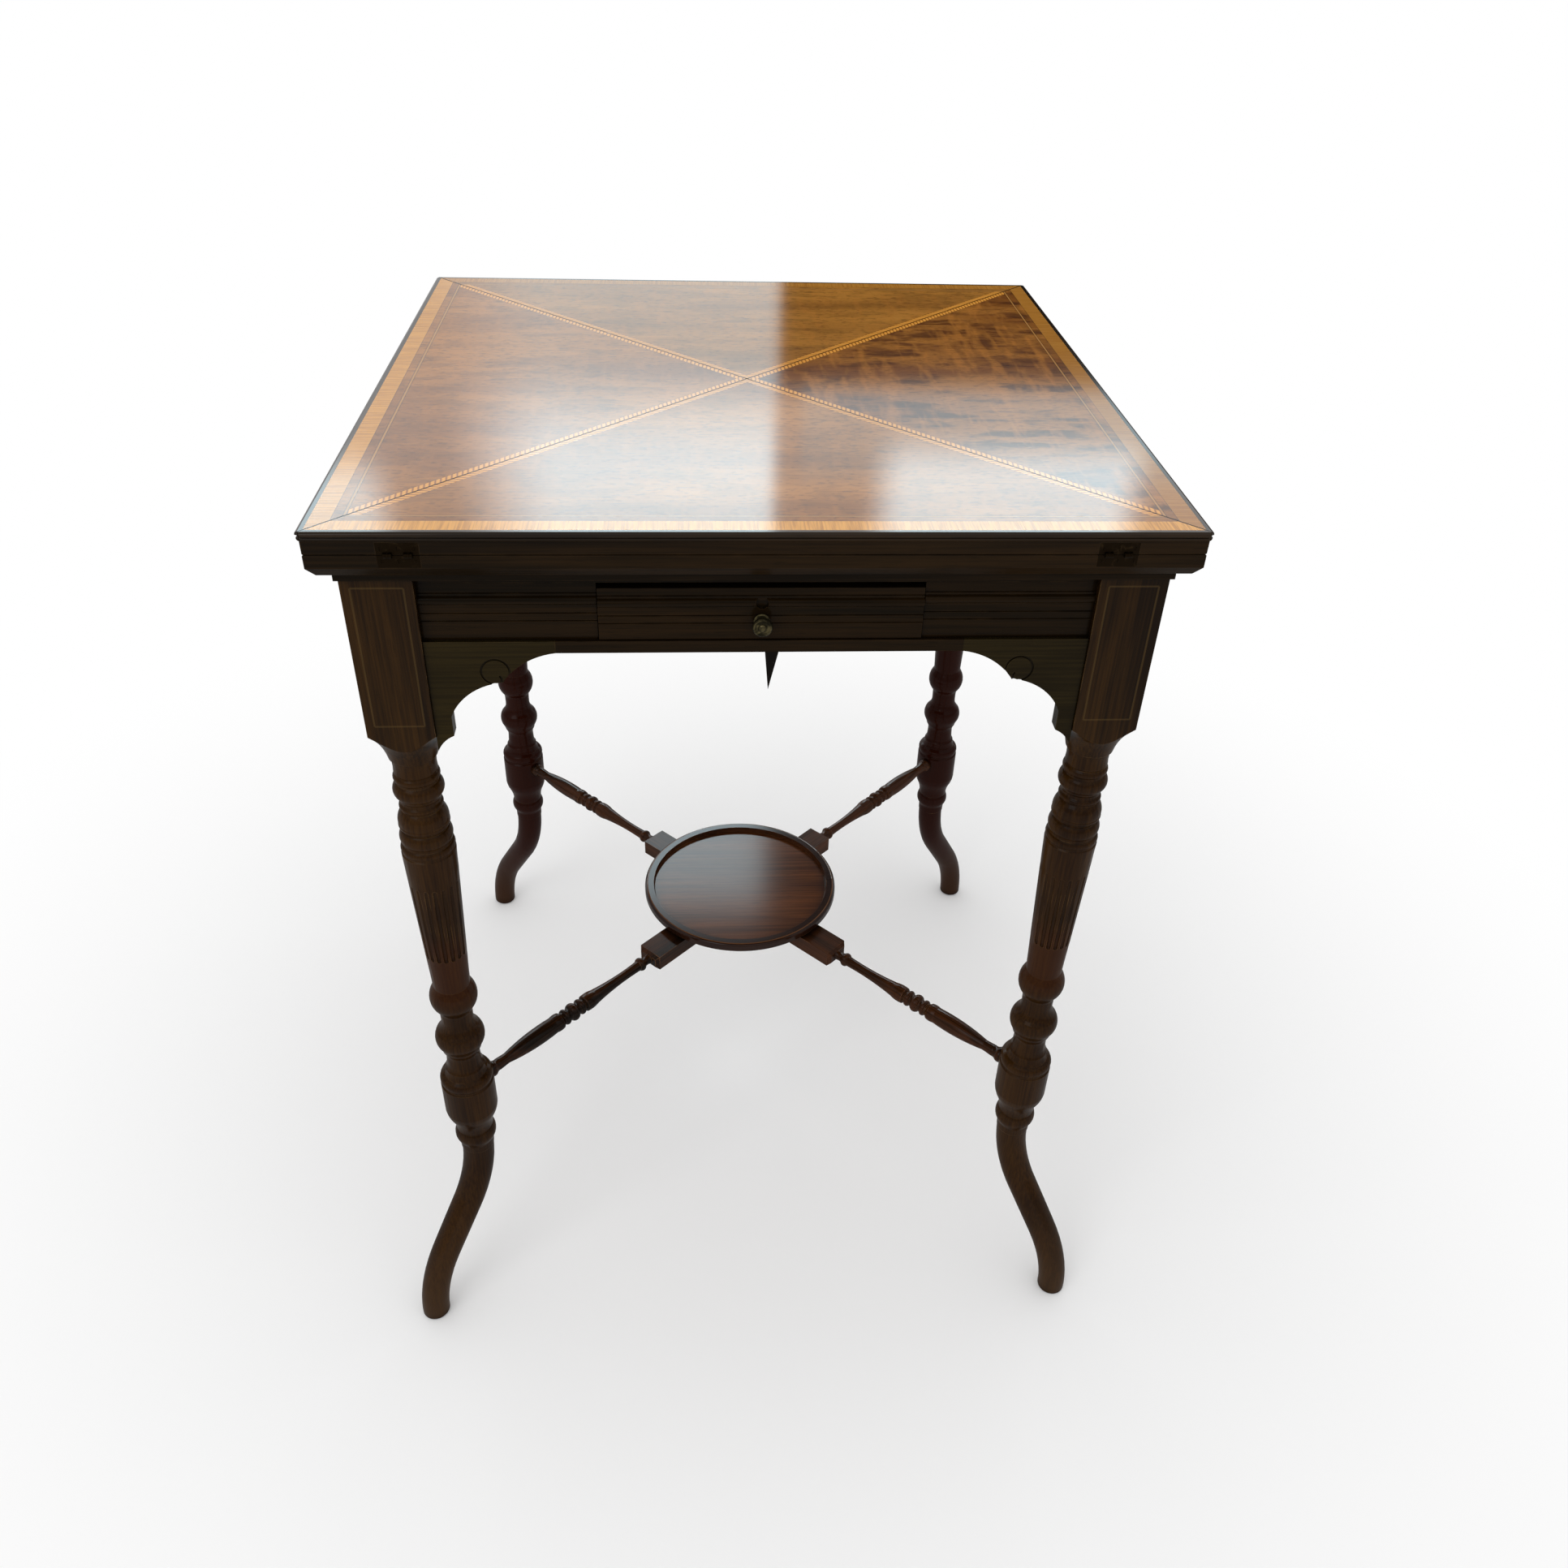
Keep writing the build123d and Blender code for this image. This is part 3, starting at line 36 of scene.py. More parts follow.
outer_face_depth = 0.0005
string_inset = 0.006
string_half_width = 0.0006
string_low = 0.6145
string_high = 0.7145


def stain(red, green, blue):
    """A colour as the eye reads it on a sample card, 0 to 255, turned into the light that it returns."""
    shares = [value / 255 for value in (red, green, blue)]
    returned = [s / 12.92 if s <= 0.04045 else ((s + 0.055) / 1.055) ** 2.4 for s in shares]
    return (*returned, 1)


def put(tree, kind, sockets=(), **settings):
    """Add one shading step to a finish, with its sockets set to values or joined to earlier steps."""
    step = tree.nodes.new("ShaderNode" + kind)
    for name, value in settings.items():
        setattr(step, name, value)
    for socket, value in dict(sockets).items():
        if isinstance(value, bpy.types.NodeSocket):
            tree.links.new(value, step.inputs[socket])
        else:
            step.inputs[socket].default_value = value
    return step


def work(tree, operation, *values):
    """One sum on numbers across a finish, such as ADD, ABSOLUTE or COMPARE."""
    return put(tree, "Math", enumerate(values), operation=operation).outputs[0]


def times(tree, first, second):
    """The product of two numbers, which is also where both of two marks lie."""
    return work(tree, "MULTIPLY", first, second)


def rise(tree, value, low, high, start=0.0, end=1.0):
    """Go smoothly from start to end while a value goes from low to high."""
    sockets = {"Value": value, "From Min": low, "From Max": high, "To Min": start, "To Max": end}
    return put(tree, "MapRange", sockets, interpolation_type="SMOOTHSTEP").outputs[0]


def lay(tree, amount, under, over):
    """Lay one colour over another by an amount."""
    sockets = {0: amount, 6: under, 7: over}
    return put(tree, "Mix", sockets, data_type="RGBA").outputs[2]


def let_in(tree, line, strength, wood, colour):
    """Let a line of another colour into the wood, showing with this strength."""
    return lay(tree, times(tree, line, strength), wood, colour)


def stretch(tree, place, factors):
    """Stretch the pattern that will be read at a place."""
    return put(tree, "VectorMath", {0: place, 1: factors}, operation="MULTIPLY").outputs[0]


def cloud(tree, place, per_metre, detail=2.0, swirl=0.0):
    """Soft uneven patches, so many to a metre. Nearly all their values lie from cloud_low to cloud_high."""
    sockets = {"Vector": place, "Scale": per_metre, "Detail": detail, "Distortion": swirl}
    return put(tree, "TexNoise", sockets).outputs[0]


cloud_low = 0.3
cloud_high = 0.7


def streaks(tree, grain, per_metre, drawn_out, detail=2.0, swirl=0.0):
    """Patches drawn out along the grain, where a metre holds only this share of their number."""
    return cloud(tree, stretch(tree, grain, (drawn_out, 1, 1)), per_metre, detail, swirl)


def axes(tree, place):
    """The three numbers of a place."""
    return put(tree, "SeparateXYZ", {0: place}).outputs


def make_place(tree, along, across, up):
    """A place from three numbers, the first of them along the grain."""
    return put(tree, "CombineXYZ", {0: along, 1: across, 2: up}).outputs[0]


def up_the_leg(tree, place):
    """Grain that runs up and down."""
    x, y, z = axes(tree, place)
    return make_place(tree, z, x, y)


def make_finish(name):
    """A new finish, its shading steps and its surface."""
    finish = bpy.data.materials.new(name)
    finish.use_nodes = True
    return finish, finish.node_tree, finish.node_tree.nodes["Principled BSDF"]


fibre_share = 0.45
band_share = 0.75
dark_until = 0.38
light_from = 0.82
pore_rim = 0.60
pore_core = 0.74
pore_darkness = 0.55
pore_sink = -0.6
grain_depth = 0.00012
grain_strength = 0.35
arris_radius = 0.0009
flat_face = 0.995
full_arris = 0.86
out_of_reach = 0.45
within_reach = 0.75
unrubbed_until = 0.40
rubbed_from = 0.66
rub_dulls = 0.2
hollow_reach = 0.011
shaded_and_grimy_below = 0.92
full_grime_and_shade_at = 0.42
grime_and_shade_stain = stain(11, 7, 4)
thin_polish = 0.1
lip_depth = 0.003
lip_blend = 0.002


def make_wood(
    name,
    run,
    dark,
    light,
    worn_and_highlight,
    sheen=(0.34, 0.5),
    shine=0.01,
    polish=0.07,
    polish_roughness=0.14,
    edge_wear_and_highlight=0.5,
    grime_and_shade=0.75,
    inlay=None,
    face_level=None,
):
    """Wood with growth bands, fibres and pores along its run, grime and painted shade in its hollows, and
    wear and painted highlight on its arrises.

    Sheen is the range of its roughness, and shine how much its bare face mirrors. Where a face level is
    given, the polish is full on that face and its lip, and thin below them.
    """
    finish, tree, surface = make_finish(name)
    place = put(tree, "TexCoord").outputs["Object"]
    grain = run(tree, place)
    bands = streaks(tree, grain, per_metre=26, drawn_out=0.12, detail=3, swirl=0.9)
    fibres = streaks(tree, grain, per_metre=620, drawn_out=0.02, detail=3)
    pores = streaks(tree, grain, per_metre=1300, drawn_out=0.045, detail=1)
    pores = rise(tree, pores, pore_rim, pore_core)
    tone = work(tree, "MULTIPLY_ADD", fibres, fibre_share, times(tree, bands, band_share))
    colour = lay(tree, rise(tree, tone, dark_until, light_from), dark, light)
    colour = let_in(tree, pores, pore_darkness, colour, dark)
    if inlay:
        colour = inlay(tree, place, grain, colour)
    rounded = put(tree, "Bevel", {"Radius": arris_radius}, samples=4).outputs[0]
    normal = put(tree, "NewGeometry").outputs["Normal"]
    bent = put(tree, "VectorMath", {0: rounded, 1: normal}, operation="DOT_PRODUCT").outputs["Value"]
    open_share = put(tree, "AmbientOcclusion", {"Distance": hollow_reach}, samples=4).outputs["AO"]
    rubbed = rise(tree, cloud(tree, place, per_metre=48, detail=3), unrubbed_until, rubbed_from)
    exposed = rise(tree, open_share, out_of_reach, within_reach)
    arris = times(tree, rise(tree, bent, flat_face, full_arris), exposed)
    # Pale on rubbed arrises: wear, and a painted highlight where the worn colour is pale.
    wear_and_highlight = times(tree, times(tree, arris, rubbed), edge_wear_and_highlight)
    colour = lay(tree, wear_and_highlight, colour, worn_and_highlight)
    # Darker where the ambient occlusion finds a hollow: grime, and painted shade as well.
    dirt_and_shade = rise(tree, open_share, shaded_and_grimy_below, full_grime_and_shade_at, 0, grime_and_shade)
    colour = lay(tree, dirt_and_shade, colour, grime_and_shade_stain)
    tree.links.new(colour, surface.inputs["Base Color"])
    smears = cloud(tree, place, per_metre=17, detail=4, swirl=0.6)
    dulled = work(tree, "MULTIPLY_ADD", wear_and_highlight, rub_dulls, rise(tree, smears, cloud_low, cloud_high, *sheen))
    tree.links.new(dulled, surface.inputs["Roughness"])
    height = work(tree, "MULTIPLY_ADD", pores, pore_sink, fibres)
    sockets = {"Strength": grain_strength, "Distance": grain_depth, "Height": height, "Normal": rounded}
    tree.links.new(put(tree, "Bump", sockets).outputs[0], surface.inputs["Normal"])
    surface.inputs["Specular IOR Level"].default_value = shine
    surface.inputs["Coat Weight"].default_value = polish
    surface.inputs["Coat Roughness"].default_value = polish_roughness
    if face_level:
        level = axes(tree, place)[2]
        lip_base = face_level - lip_depth
        built_up = rise(tree, level, lip_base - lip_blend, lip_base, thin_polish, polish)
        tree.links.new(built_up, surface.inputs["Coat Weight"])
    return finish


def dress(finish, *names):
    """Give these pieces a finish."""
    for name in names:
        for seat in part[name].material_slots:
            seat.material = finish


def block_stringing(tree, place, grain, colour):
    """Light stringing let into the outer faces of the leg blocks, a rectangle on each face."""
    x, y, z = axes(tree, place)
    out_x = work(tree, "ABSOLUTE", x)
    out_y = work(tree, "ABSOLUTE", y)
    off_x = work(tree, "ABSOLUTE", work(tree, "SUBTRACT", out_x, leg_axis_distance))
    off_y = work(tree, "ABSOLUTE", work(tree, "SUBTRACT", out_y, leg_axis_distance))
    across = work(tree, "MINIMUM", off_x, off_y)
    reach = block_half - string_inset
    outer_face = leg_axis_distance + block_half - outer_face_depth
    outer = work(tree, "GREATER_THAN", work(tree, "MAXIMUM", out_x, out_y), outer_face)
    half_height = (string_high - string_low) / 2
    middle = (string_high + string_low) / 2
    from_middle = work(tree, "ABSOLUTE", work(tree, "SUBTRACT", z, middle))
    upright = work(tree, "COMPARE", across, reach, string_half_width)
    upright = times(tree, upright, work(tree, "LESS_THAN", from_middle, half_height))
    level = work(tree, "COMPARE", from_middle, half_height, string_half_width)
    level = times(tree, level, work(tree, "LESS_THAN", across, reach))
    line = times(tree, work(tree, "MAXIMUM", upright, level), outer)
    return let_in(tree, line, block_string_strength, colour, block_string_stain)


def leg_inlay(redness, red_stain):
    """The stringing of a leg, over a stain that is redder below its block and paler at its foot."""

    def inlay(tree, place, grain, colour):
        x, y, z = axes(tree, place)
        from_band = work(tree, "ABSOLUTE", work(tree, "SUBTRACT", z, red_band_middle))
        amount = rise(tree, from_band, red_band_reach, red_band_core, redness, max(redness, red_band_share))
        red = times(tree, rise(tree, z, string_low, string_low - red_start_depth), amount)
        colour = lay(tree, red, colour, red_stain)
        pale = rise(tree, z, pale_foot_start, pale_foot_end, 0, pale_foot_share)
        colour = lay(tree, pale, colour, pale_foot_stain)
        return block_stringing(tree, place, grain, colour)

    return inlay


block_string_strength = 0.2
block_string_stain = stain(104, 82, 46)
red_band_middle = 0.384
red_band_reach = 0.045
red_band_core = 0.02
red_band_share = 0.45
red_start_depth = 0.06
pale_foot_start = 0.14
pale_foot_end = 0.01
pale_foot_share = 0.35
pale_foot_stain = stain(72, 52, 34)
leg_polish = dict(worn_and_highlight=stain(112, 84, 50), edge_wear_and_highlight=0.7, polish=0.11)
front_leg_wood = make_wood(
    "front_leg_mahogany",
    up_the_leg,
    dark=stain(21, 11, 3),
    light=stain(54, 34, 10),
    inlay=leg_inlay(0.1, stain(60, 28, 10)),
    **leg_polish,
)
back_leg_wood = make_wood(
    "back_leg_mahogany",
    up_the_leg,
    dark=stain(14, 5, 1),
    light=stain(42, 18, 7),
    inlay=leg_inlay(0.75, stain(36, 9, 3)),
    **leg_polish,
)
dress(front_leg_wood, "leg_front_left", "leg_front_right")
dress(back_leg_wood, "leg_back_right", "leg_back_left")

# Frame: frieze rails with a bead and scratched lines, the panels each side of the drawer, the thin and
# the flat rail over and under it, the mitred moulding and the apron strips. All are mahogany, with the
# grain along each side of the square, tenoned into the legs or glued to the rails.
next_board = 3.7


def fade(tree, amount, first, second):
    """Go from one number to another by an amount."""
    return put(tree, "Mix", {0: amount, 2: first, 3: second}).outputs[0]


def round_the_frame(tree, place):
    """Grain that runs along each side of the square, cut from another board on the left and the right."""
    x, y, z = axes(tree, place)
    beside = work(tree, "GREATER_THAN", work(tree, "ABSOLUTE", x), work(tree, "ABSOLUTE", y))
    along = work(tree, "MULTIPLY_ADD", beside, next_board, fade(tree, beside, x, y))
    return make_place(tree, along, fade(tree, beside, y, x), z)


frame_wood = make_wood(
    "frame_mahogany",
    round_the_frame,
    dark=stain(14, 9, 3),
    light=stain(34, 22, 8),
    worn_and_highlight=stain(72, 52, 28),
    edge_wear_and_highlight=0.45,
)
dress(frame_wood, "rail_back", "rail_left", "rail_right", "front_panel_left", "front_panel_right")
dress(frame_wood, "front_top_rail", "front_bottom_rail", "top_mouldings", "apron_strips")

# Brackets: shaped pieces of the same wood, glued under the frieze and against the legs, each with a
# scroll scratched into its face and darkened.
bracket_wood = make_wood(
    "bracket_mahogany",
    round_the_frame,
    dark=stain(24, 18, 6),
    light=stain(44, 35, 14),
    worn_and_highlight=stain(80, 62, 36),
    grime_and_shade=0.9,
)
dress(bracket_wood, "brackets_front", "brackets_right", "brackets_back", "brackets_left")

# Stretchers and hub: four turned rails run out from a square hub under the tray to the knees of the
# legs. They are redder than the legs, and pale on the arrises of the swellings where hands and dusters
# have thinned the polish, which is wear and a painted highlight in one.
next_stretcher = 0.7


def out_from_hub(tree, place):
    """Grain that runs out along the diagonals of the table, each stretcher from wood of its own."""
    x, y, z = axes(tree, place)
    out_x = work(tree, "ABSOLUTE", x)
    out_y = work(tree, "ABSOLUTE", y)
    along = times(tree, work(tree, "ADD", out_x, out_y), math.sqrt(0.5))
    across = work(tree, "SUBTRACT", out_x, out_y)
    corner = work(tree, "MULTIPLY_ADD", work(tree, "SIGN", x), next_stretcher, work(tree, "SIGN", y))
    return make_place(tree, work(tree, "ADD", along, corner), across, z)


stretcher_wood = make_wood(
    "stretcher_mahogany",
    out_from_hub,
    dark=stain(16, 9, 4),
    light=stain(70, 38, 18),
    # This pale worn colour is wear and a painted highlight together.
    worn_and_highlight=stain(168, 118, 76),
    polish=0.16,
    edge_wear_and_highlight=0.7,
    grime_and_shade=0.85,
)
dress(stretcher_wood, "stretcher_front_left", "stretcher_front_right", "stretcher_back_right")
dress(stretcher_wood, "stretcher_back_left", "stretcher_hub")

# Tray: one turned disc of redder mahogany, dished and polished brighter than the frame, with a dark
# moulded rim. It is screwed down on the stretcher blocks from below.
tray_rim_start = 0.0825
tray_rim_full = 0.0855
tray_rim_stain = stain(24, 11, 7)
tray_rim_share = 0.9
tray_line_radius = 0.0905
tray_line_half_width = 0.0005
tray_line_strength = 0.35
tray_line_stain = stain(150, 104, 70)


def across_table(tree, place):
    """Grain that runs from left to right."""
    x, y, z = axes(tree, place)
    return make_place(tree, x, y, z)


def from_middle_of_table(tree, x, y):
    """How far a place is from the upright line through the middle of the table."""
    return work(tree, "SQRT", work(tree, "MULTIPLY_ADD", x, x, times(tree, y, y)))


def stained_rim(tree, place, grain, colour):
    """The rim is stained darker than the floor, with a fine line turned along its crest."""
    x, y, z = axes(tree, place)
    radius = from_middle_of_table(tree, x, y)
    rim = rise(tree, radius, tray_rim_start, tray_rim_full, 0, tray_rim_share)
    colour = lay(tree, rim, colour, tray_rim_stain)
    line = work(tree, "COMPARE", radius, tray_line_radius, tray_line_half_width)
    return let_in(tree, line, tray_line_strength, colour, tray_line_stain)


tray_wood = make_wood(
    "tray_mahogany",
    across_table,
    dark=stain(46, 22, 9),
    light=stain(98, 56, 28),
    worn_and_highlight=stain(158, 112, 76),
    shine=0.0,
    polish=0.32,
    polish_roughness=0.1,
    inlay=stained_rim,
)
dress(tray_wood, "tray")

# Steel: the tray's screws, the catch's screw and the pivot's bolt, washer and nut, bright once and now
# grey and a little rusty where the air reaches them.
metal_hollow_reach = 0.003
metal_hollow_rim = 0.9
metal_hollow_core = 0.3
hollow_tarnish = 0.7
metal_edge_radius = 0.0003
scratch_run = (1, 0.2, 0.2)
scratch_depth = 0.00005
scratch_strength = 0.25


def make_metal(name, bright, dull, sheen, grit, dullness=(0.35, 0.65)):
    """Metal that has tarnished in patches, most of all in its hollows.

    Sheen is the range of its roughness from bright to dull, and grit the height of the patches.
    """
    finish, tree, surface = make_finish(name)
    place = put(tree, "TexCoord").outputs["Object"]
    patches = cloud(tree, place, per_metre=180, detail=4, swirl=0.8)
    open_share = put(tree, "AmbientOcclusion", {"Distance": metal_hollow_reach}, samples=4).outputs["AO"]
    sheltered = rise(tree, open_share, metal_hollow_rim, metal_hollow_core, 0, hollow_tarnish)
    tarnish = work(tree, "MAXIMUM", rise(tree, patches, *dullness), sheltered)
    tree.links.new(lay(tree, tarnish, bright, dull), surface.inputs["Base Color"])
    tree.links.new(rise(tree, tarnish, 0, 1, *sheen), surface.inputs["Roughness"])
    scratches = cloud(tree, stretch(tree, place, scratch_run), per_metre=2400)
    rounded = put(tree, "Bevel", {"Radius": metal_edge_radius}, samples=4).outputs[0]
    height = work(tree, "MULTIPLY_ADD", patches, grit, scratches)
    sockets = {"Strength": scratch_strength, "Distance": scratch_depth, "Height": height, "Normal": rounded}
    tree.links.new(put(tree, "Bump", sockets).outputs[0], surface.inputs["Normal"])
    surface.inputs["Metallic"].default_value = 1.0
    return finish


steel = make_metal(
    "old_steel", bright=stain(150, 146, 140), dull=stain(88, 74, 62), sheen=(0.32, 0.6), grit=0.6
)
dress(steel, "tray_screws", "pivot_bolt", "pivot_washer", "pivot_nut", "catch_screw")

# Bearer, peg, runners, kickers and stops: the unpolished deal and beech inside the frame, gone brown with
# age, glued and housed where nobody sees them.


def front_to_back(tree, place):
    """Grain that runs from front to back."""
    x, y, z = axes(tree, place)
    return make_place(tree, y, x, z)


carcase_wood = dict(
    dark=stain(96, 66, 40),
    light=stain(172, 132, 88),
    worn_and_highlight=stain(198, 164, 122),
    sheen=(0.62, 0.8),
    polish=0.0,
    edge_wear_and_highlight=0.35,
)
dress(make_wood("bearer_beech", across_table, **carcase_wood), "pivot_bearer")
dress(make_wood("peg_beech", up_the_leg, **carcase_wood), "stop_peg")
runner_wood = make_wood("runner_deal", front_to_back, **carcase_wood)
dress(runner_wood, "drawer_runners", "drawer_kickers", "drawer_stops")

# Drawer: a front moulded like the frieze, sides and back of thin cedar lapped and grooved together, a
# thin bottom slid into the grooves, and a turned brass knob with a screw of its own.
drawer_wood = make_wood(
    "drawer_mahogany",
    round_the_frame,
    dark=stain(14, 9, 3),
    light=stain(36, 23, 8),
    worn_and_highlight=stain(72, 52, 28),
    edge_wear_and_highlight=0.45,
)
dress(drawer_wood, "drawer_front")
cedar = dict(carcase_wood, dark=stain(104, 64, 40), light=stain(168, 116, 78))
dress(make_wood("drawer_cedar_sides", front_to_back, **cedar), "drawer_sides")
dress(make_wood("drawer_cedar_across", across_table, **cedar), "drawer_back", "drawer_bottom")
knob_brass = make_metal(
    "knob_brass",
    bright=stain(82, 74, 50),
    dull=stain(36, 33, 23),
    sheen=(0.34, 0.55),
    grit=0.8,
    dullness=(0.3, 0.6),
)
dress(knob_brass, "drawer_knob")

# Catch: a thin pointed strip of iron that hangs from a screw behind the bottom rail, black with age and
# brighter in patches where the tarnish is thin.
catch_iron = make_metal(
    "catch_iron",
    bright=stain(96, 92, 88),
    dull=stain(26, 23, 21),
    sheen=(0.3, 0.6),
    grit=1.5,
    dullness=(0.2, 0.45),
)
dress(catch_iron, "drawer_catch")

# Board: a mahogany panel that turns on the frame. Its edge shows under the leaves, and its face is
# covered with baize inside a narrow polished border.
board_wood = make_wood(
    "board_mahogany",
    round_the_frame,
    dark=stain(17, 11, 4),
    light=stain(38, 25, 10),
    worn_and_highlight=stain(78, 56, 32),
    edge_wear_and_highlight=0.45,
)
dress(board_wood, "board")

# Baize: green woollen cloth with a short nap, glued into shallow recesses in the board and in the
# inner faces of the leaves, and faded unevenly by play.
baize_green = stain(24, 78, 46)
baize_faded = stain(48, 108, 66)
thread_shade = stain(12, 48, 28)
threads_per_metre = 900
thread_run = 0.15
shade_from = 1.2
shade_full = 1.7
shade_share = 0.5
nap_share = 0.8
nap_height = 0.0003
nap_roughness = (0.82, 0.98)
finish, tree, surface = make_finish("card_baize")
place = put(tree, "TexCoord").outputs["Object"]
faded = cloud(tree, place, per_metre=7, detail=3, swirl=0.5)
nap = cloud(tree, place, per_metre=1500, detail=3)
warp = cloud(tree, stretch(tree, place, (1, thread_run, 1)), threads_per_metre, detail=1)
weft = cloud(tree, stretch(tree, place, (thread_run, 1, 1)), threads_per_metre, detail=1)
thread = work(tree, "ADD", work(tree, "ADD", warp, weft), times(tree, nap, nap_share))
cloth_colour = lay(tree, rise(tree, faded, cloud_low, cloud_high), baize_green, baize_faded)
shaded = rise(tree, thread, shade_from, shade_full, 0, shade_share)
cloth_colour = lay(tree, shaded, cloth_colour, thread_shade)
tree.links.new(cloth_colour, surface.inputs["Base Color"])
tree.links.new(rise(tree, nap, cloud_low, cloud_high, *nap_roughness), surface.inputs["Roughness"])
bump = put(tree, "Bump", {"Strength": 0.6, "Distance": nap_height, "Height": thread})
tree.links.new(bump.outputs[0], surface.inputs["Normal"])
surface.inputs["Sheen Weight"].default_value = 0.35
surface.inputs["Sheen Roughness"].default_value = 0.5
surface.inputs["Specular IOR Level"].default_value = 0.15
dress(finish, "board_baize", "leaf_baize_front", "leaf_baize_right", "leaf_baize_back", "leaf_baize_left")

# Leaves: four triangles of the top. Each has a dark rounded nose, figured mahogany veneer, a golden
# crossband along the outer edge with a fine string inside it, and a narrow strip of short rope
# pattern beside each mitred joint. The inner face has a plain polished border round its baize.
half_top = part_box("board")[1].x
veneer_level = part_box("leaf_front")[1].z - 0.0004
lipping_width = 0.0026
band_width = 0.0125
band_edge_width = 0.0005
string_start = 0.0215
string_width = 0.0013
joint_line_width = 0.0007
rope_width = 0.0048
rope_pitch = 0.0042
rope_slant = 0.9
rope_edge_half_width = 0.00035
veneer_shade = stain(116, 68, 23)
veneer_light = stain(164, 108, 43)
mottle_stain = stain(60, 29, 8)
ripple_light = stain(168, 108, 42)
fleck_stain = stain(54, 27, 9)
gold_light = stain(213, 152, 60)
gold_shade = stain(174, 116, 38)
gold_gone_brown = stain(112, 68, 24)
rope_shade = stain(140, 84, 26)
rope_light = stain(210, 146, 58)
string_light = stain(186, 134, 68)
glue_line = stain(24, 12, 6)
tint_share = 0.3
ripple_share = 0.6
fibre_fleck_share = 0.35
speckle_share = 0.4
rope_edge_strength = 0.7
string_edge_strength = 0.5
string_strength = 0.65
band_edge_strength = 0.45
joint_strength = 0.8
ripple_run = (1, 0.2, 1)
gold_run = (1, 0.04, 1)
# Each pattern comes in while its cloud goes from the first of these values to the second.
growth_starts = (0.34, 0.66)
mottle_starts = (0.46, 0.66)
ripple_starts = (0.46, 0.7)
fibre_starts = (0.5, 0.75)
speckle_starts = (0.5, 0.7)
gold_streak_starts = (0.34, 0.72)
strand_starts = (0.05, 0.3)


def figured_veneer(tree, place, offset, figure, tint):
    """Mahogany with dark mottle and pale ripple, cut from its own place in the flitch and tinted."""
    flitch = put(tree, "VectorMath", {0: place, 1: offset}, operation="ADD").outputs[0]
    growth = streaks(tree, flitch, per_metre=17, drawn_out=0.3, detail=4, swirl=0.3)
    mottle = streaks(tree, flitch, per_metre=74, drawn_out=0.34, detail=4, swirl=0.3)
    ripple = cloud(tree, stretch(tree, flitch, ripple_run), per_metre=105, swirl=0.2)
    speckle = streaks(tree, flitch, per_metre=420, drawn_out=0.4)
    fibres = streaks(tree, flitch, per_metre=760, drawn_out=0.03, detail=3)
    field = lay(tree, rise(tree, growth, *growth_starts), veneer_shade, veneer_light)
    field = lay(tree, rise(tree, mottle, *mottle_starts, 0, figure), field, mottle_stain)
    field = lay(tree, tint_share, field, tint)
    rippled = rise(tree, ripple, *ripple_starts, 0, figure * ripple_share)
    field = lay(tree, rippled, field, ripple_light)
    field = lay(tree, rise(tree, fibres, *fibre_starts, 0, fibre_fleck_share), field, fleck_stain)
    return lay(tree, rise(tree, speckle, *speckle_starts, 0, speckle_share), field, fleck_stain)


def golden_crossband(tree, place, gold_age):
    """Pale wood with its grain across the band, gone brown with age."""
    across_band = stretch(tree, round_the_frame(tree, place), gold_run)
    streaked = cloud(tree, across_band, per_metre=900, detail=3)
    gold = lay(tree, rise(tree, streaked, *gold_streak_starts), gold_light, gold_shade)
    return lay(tree, gold_age, gold, gold_gone_brown)


def rope_pattern(tree, out_x, out_y, beside):
    """Short slanting strands, pale and brown in turn, along the joint."""
    along = times(tree, work(tree, "ADD", out_x, out_y), math.sqrt(0.5))
    turned = work(tree, "DIVIDE", along, rope_pitch)
    slanted = work(tree, "MULTIPLY_ADD", beside, rope_slant / rope_width, turned)
    strand = work(tree, "PINGPONG", slanted, 0.5)
    return lay(tree, rise(tree, strand, *strand_starts), rope_shade, rope_light)


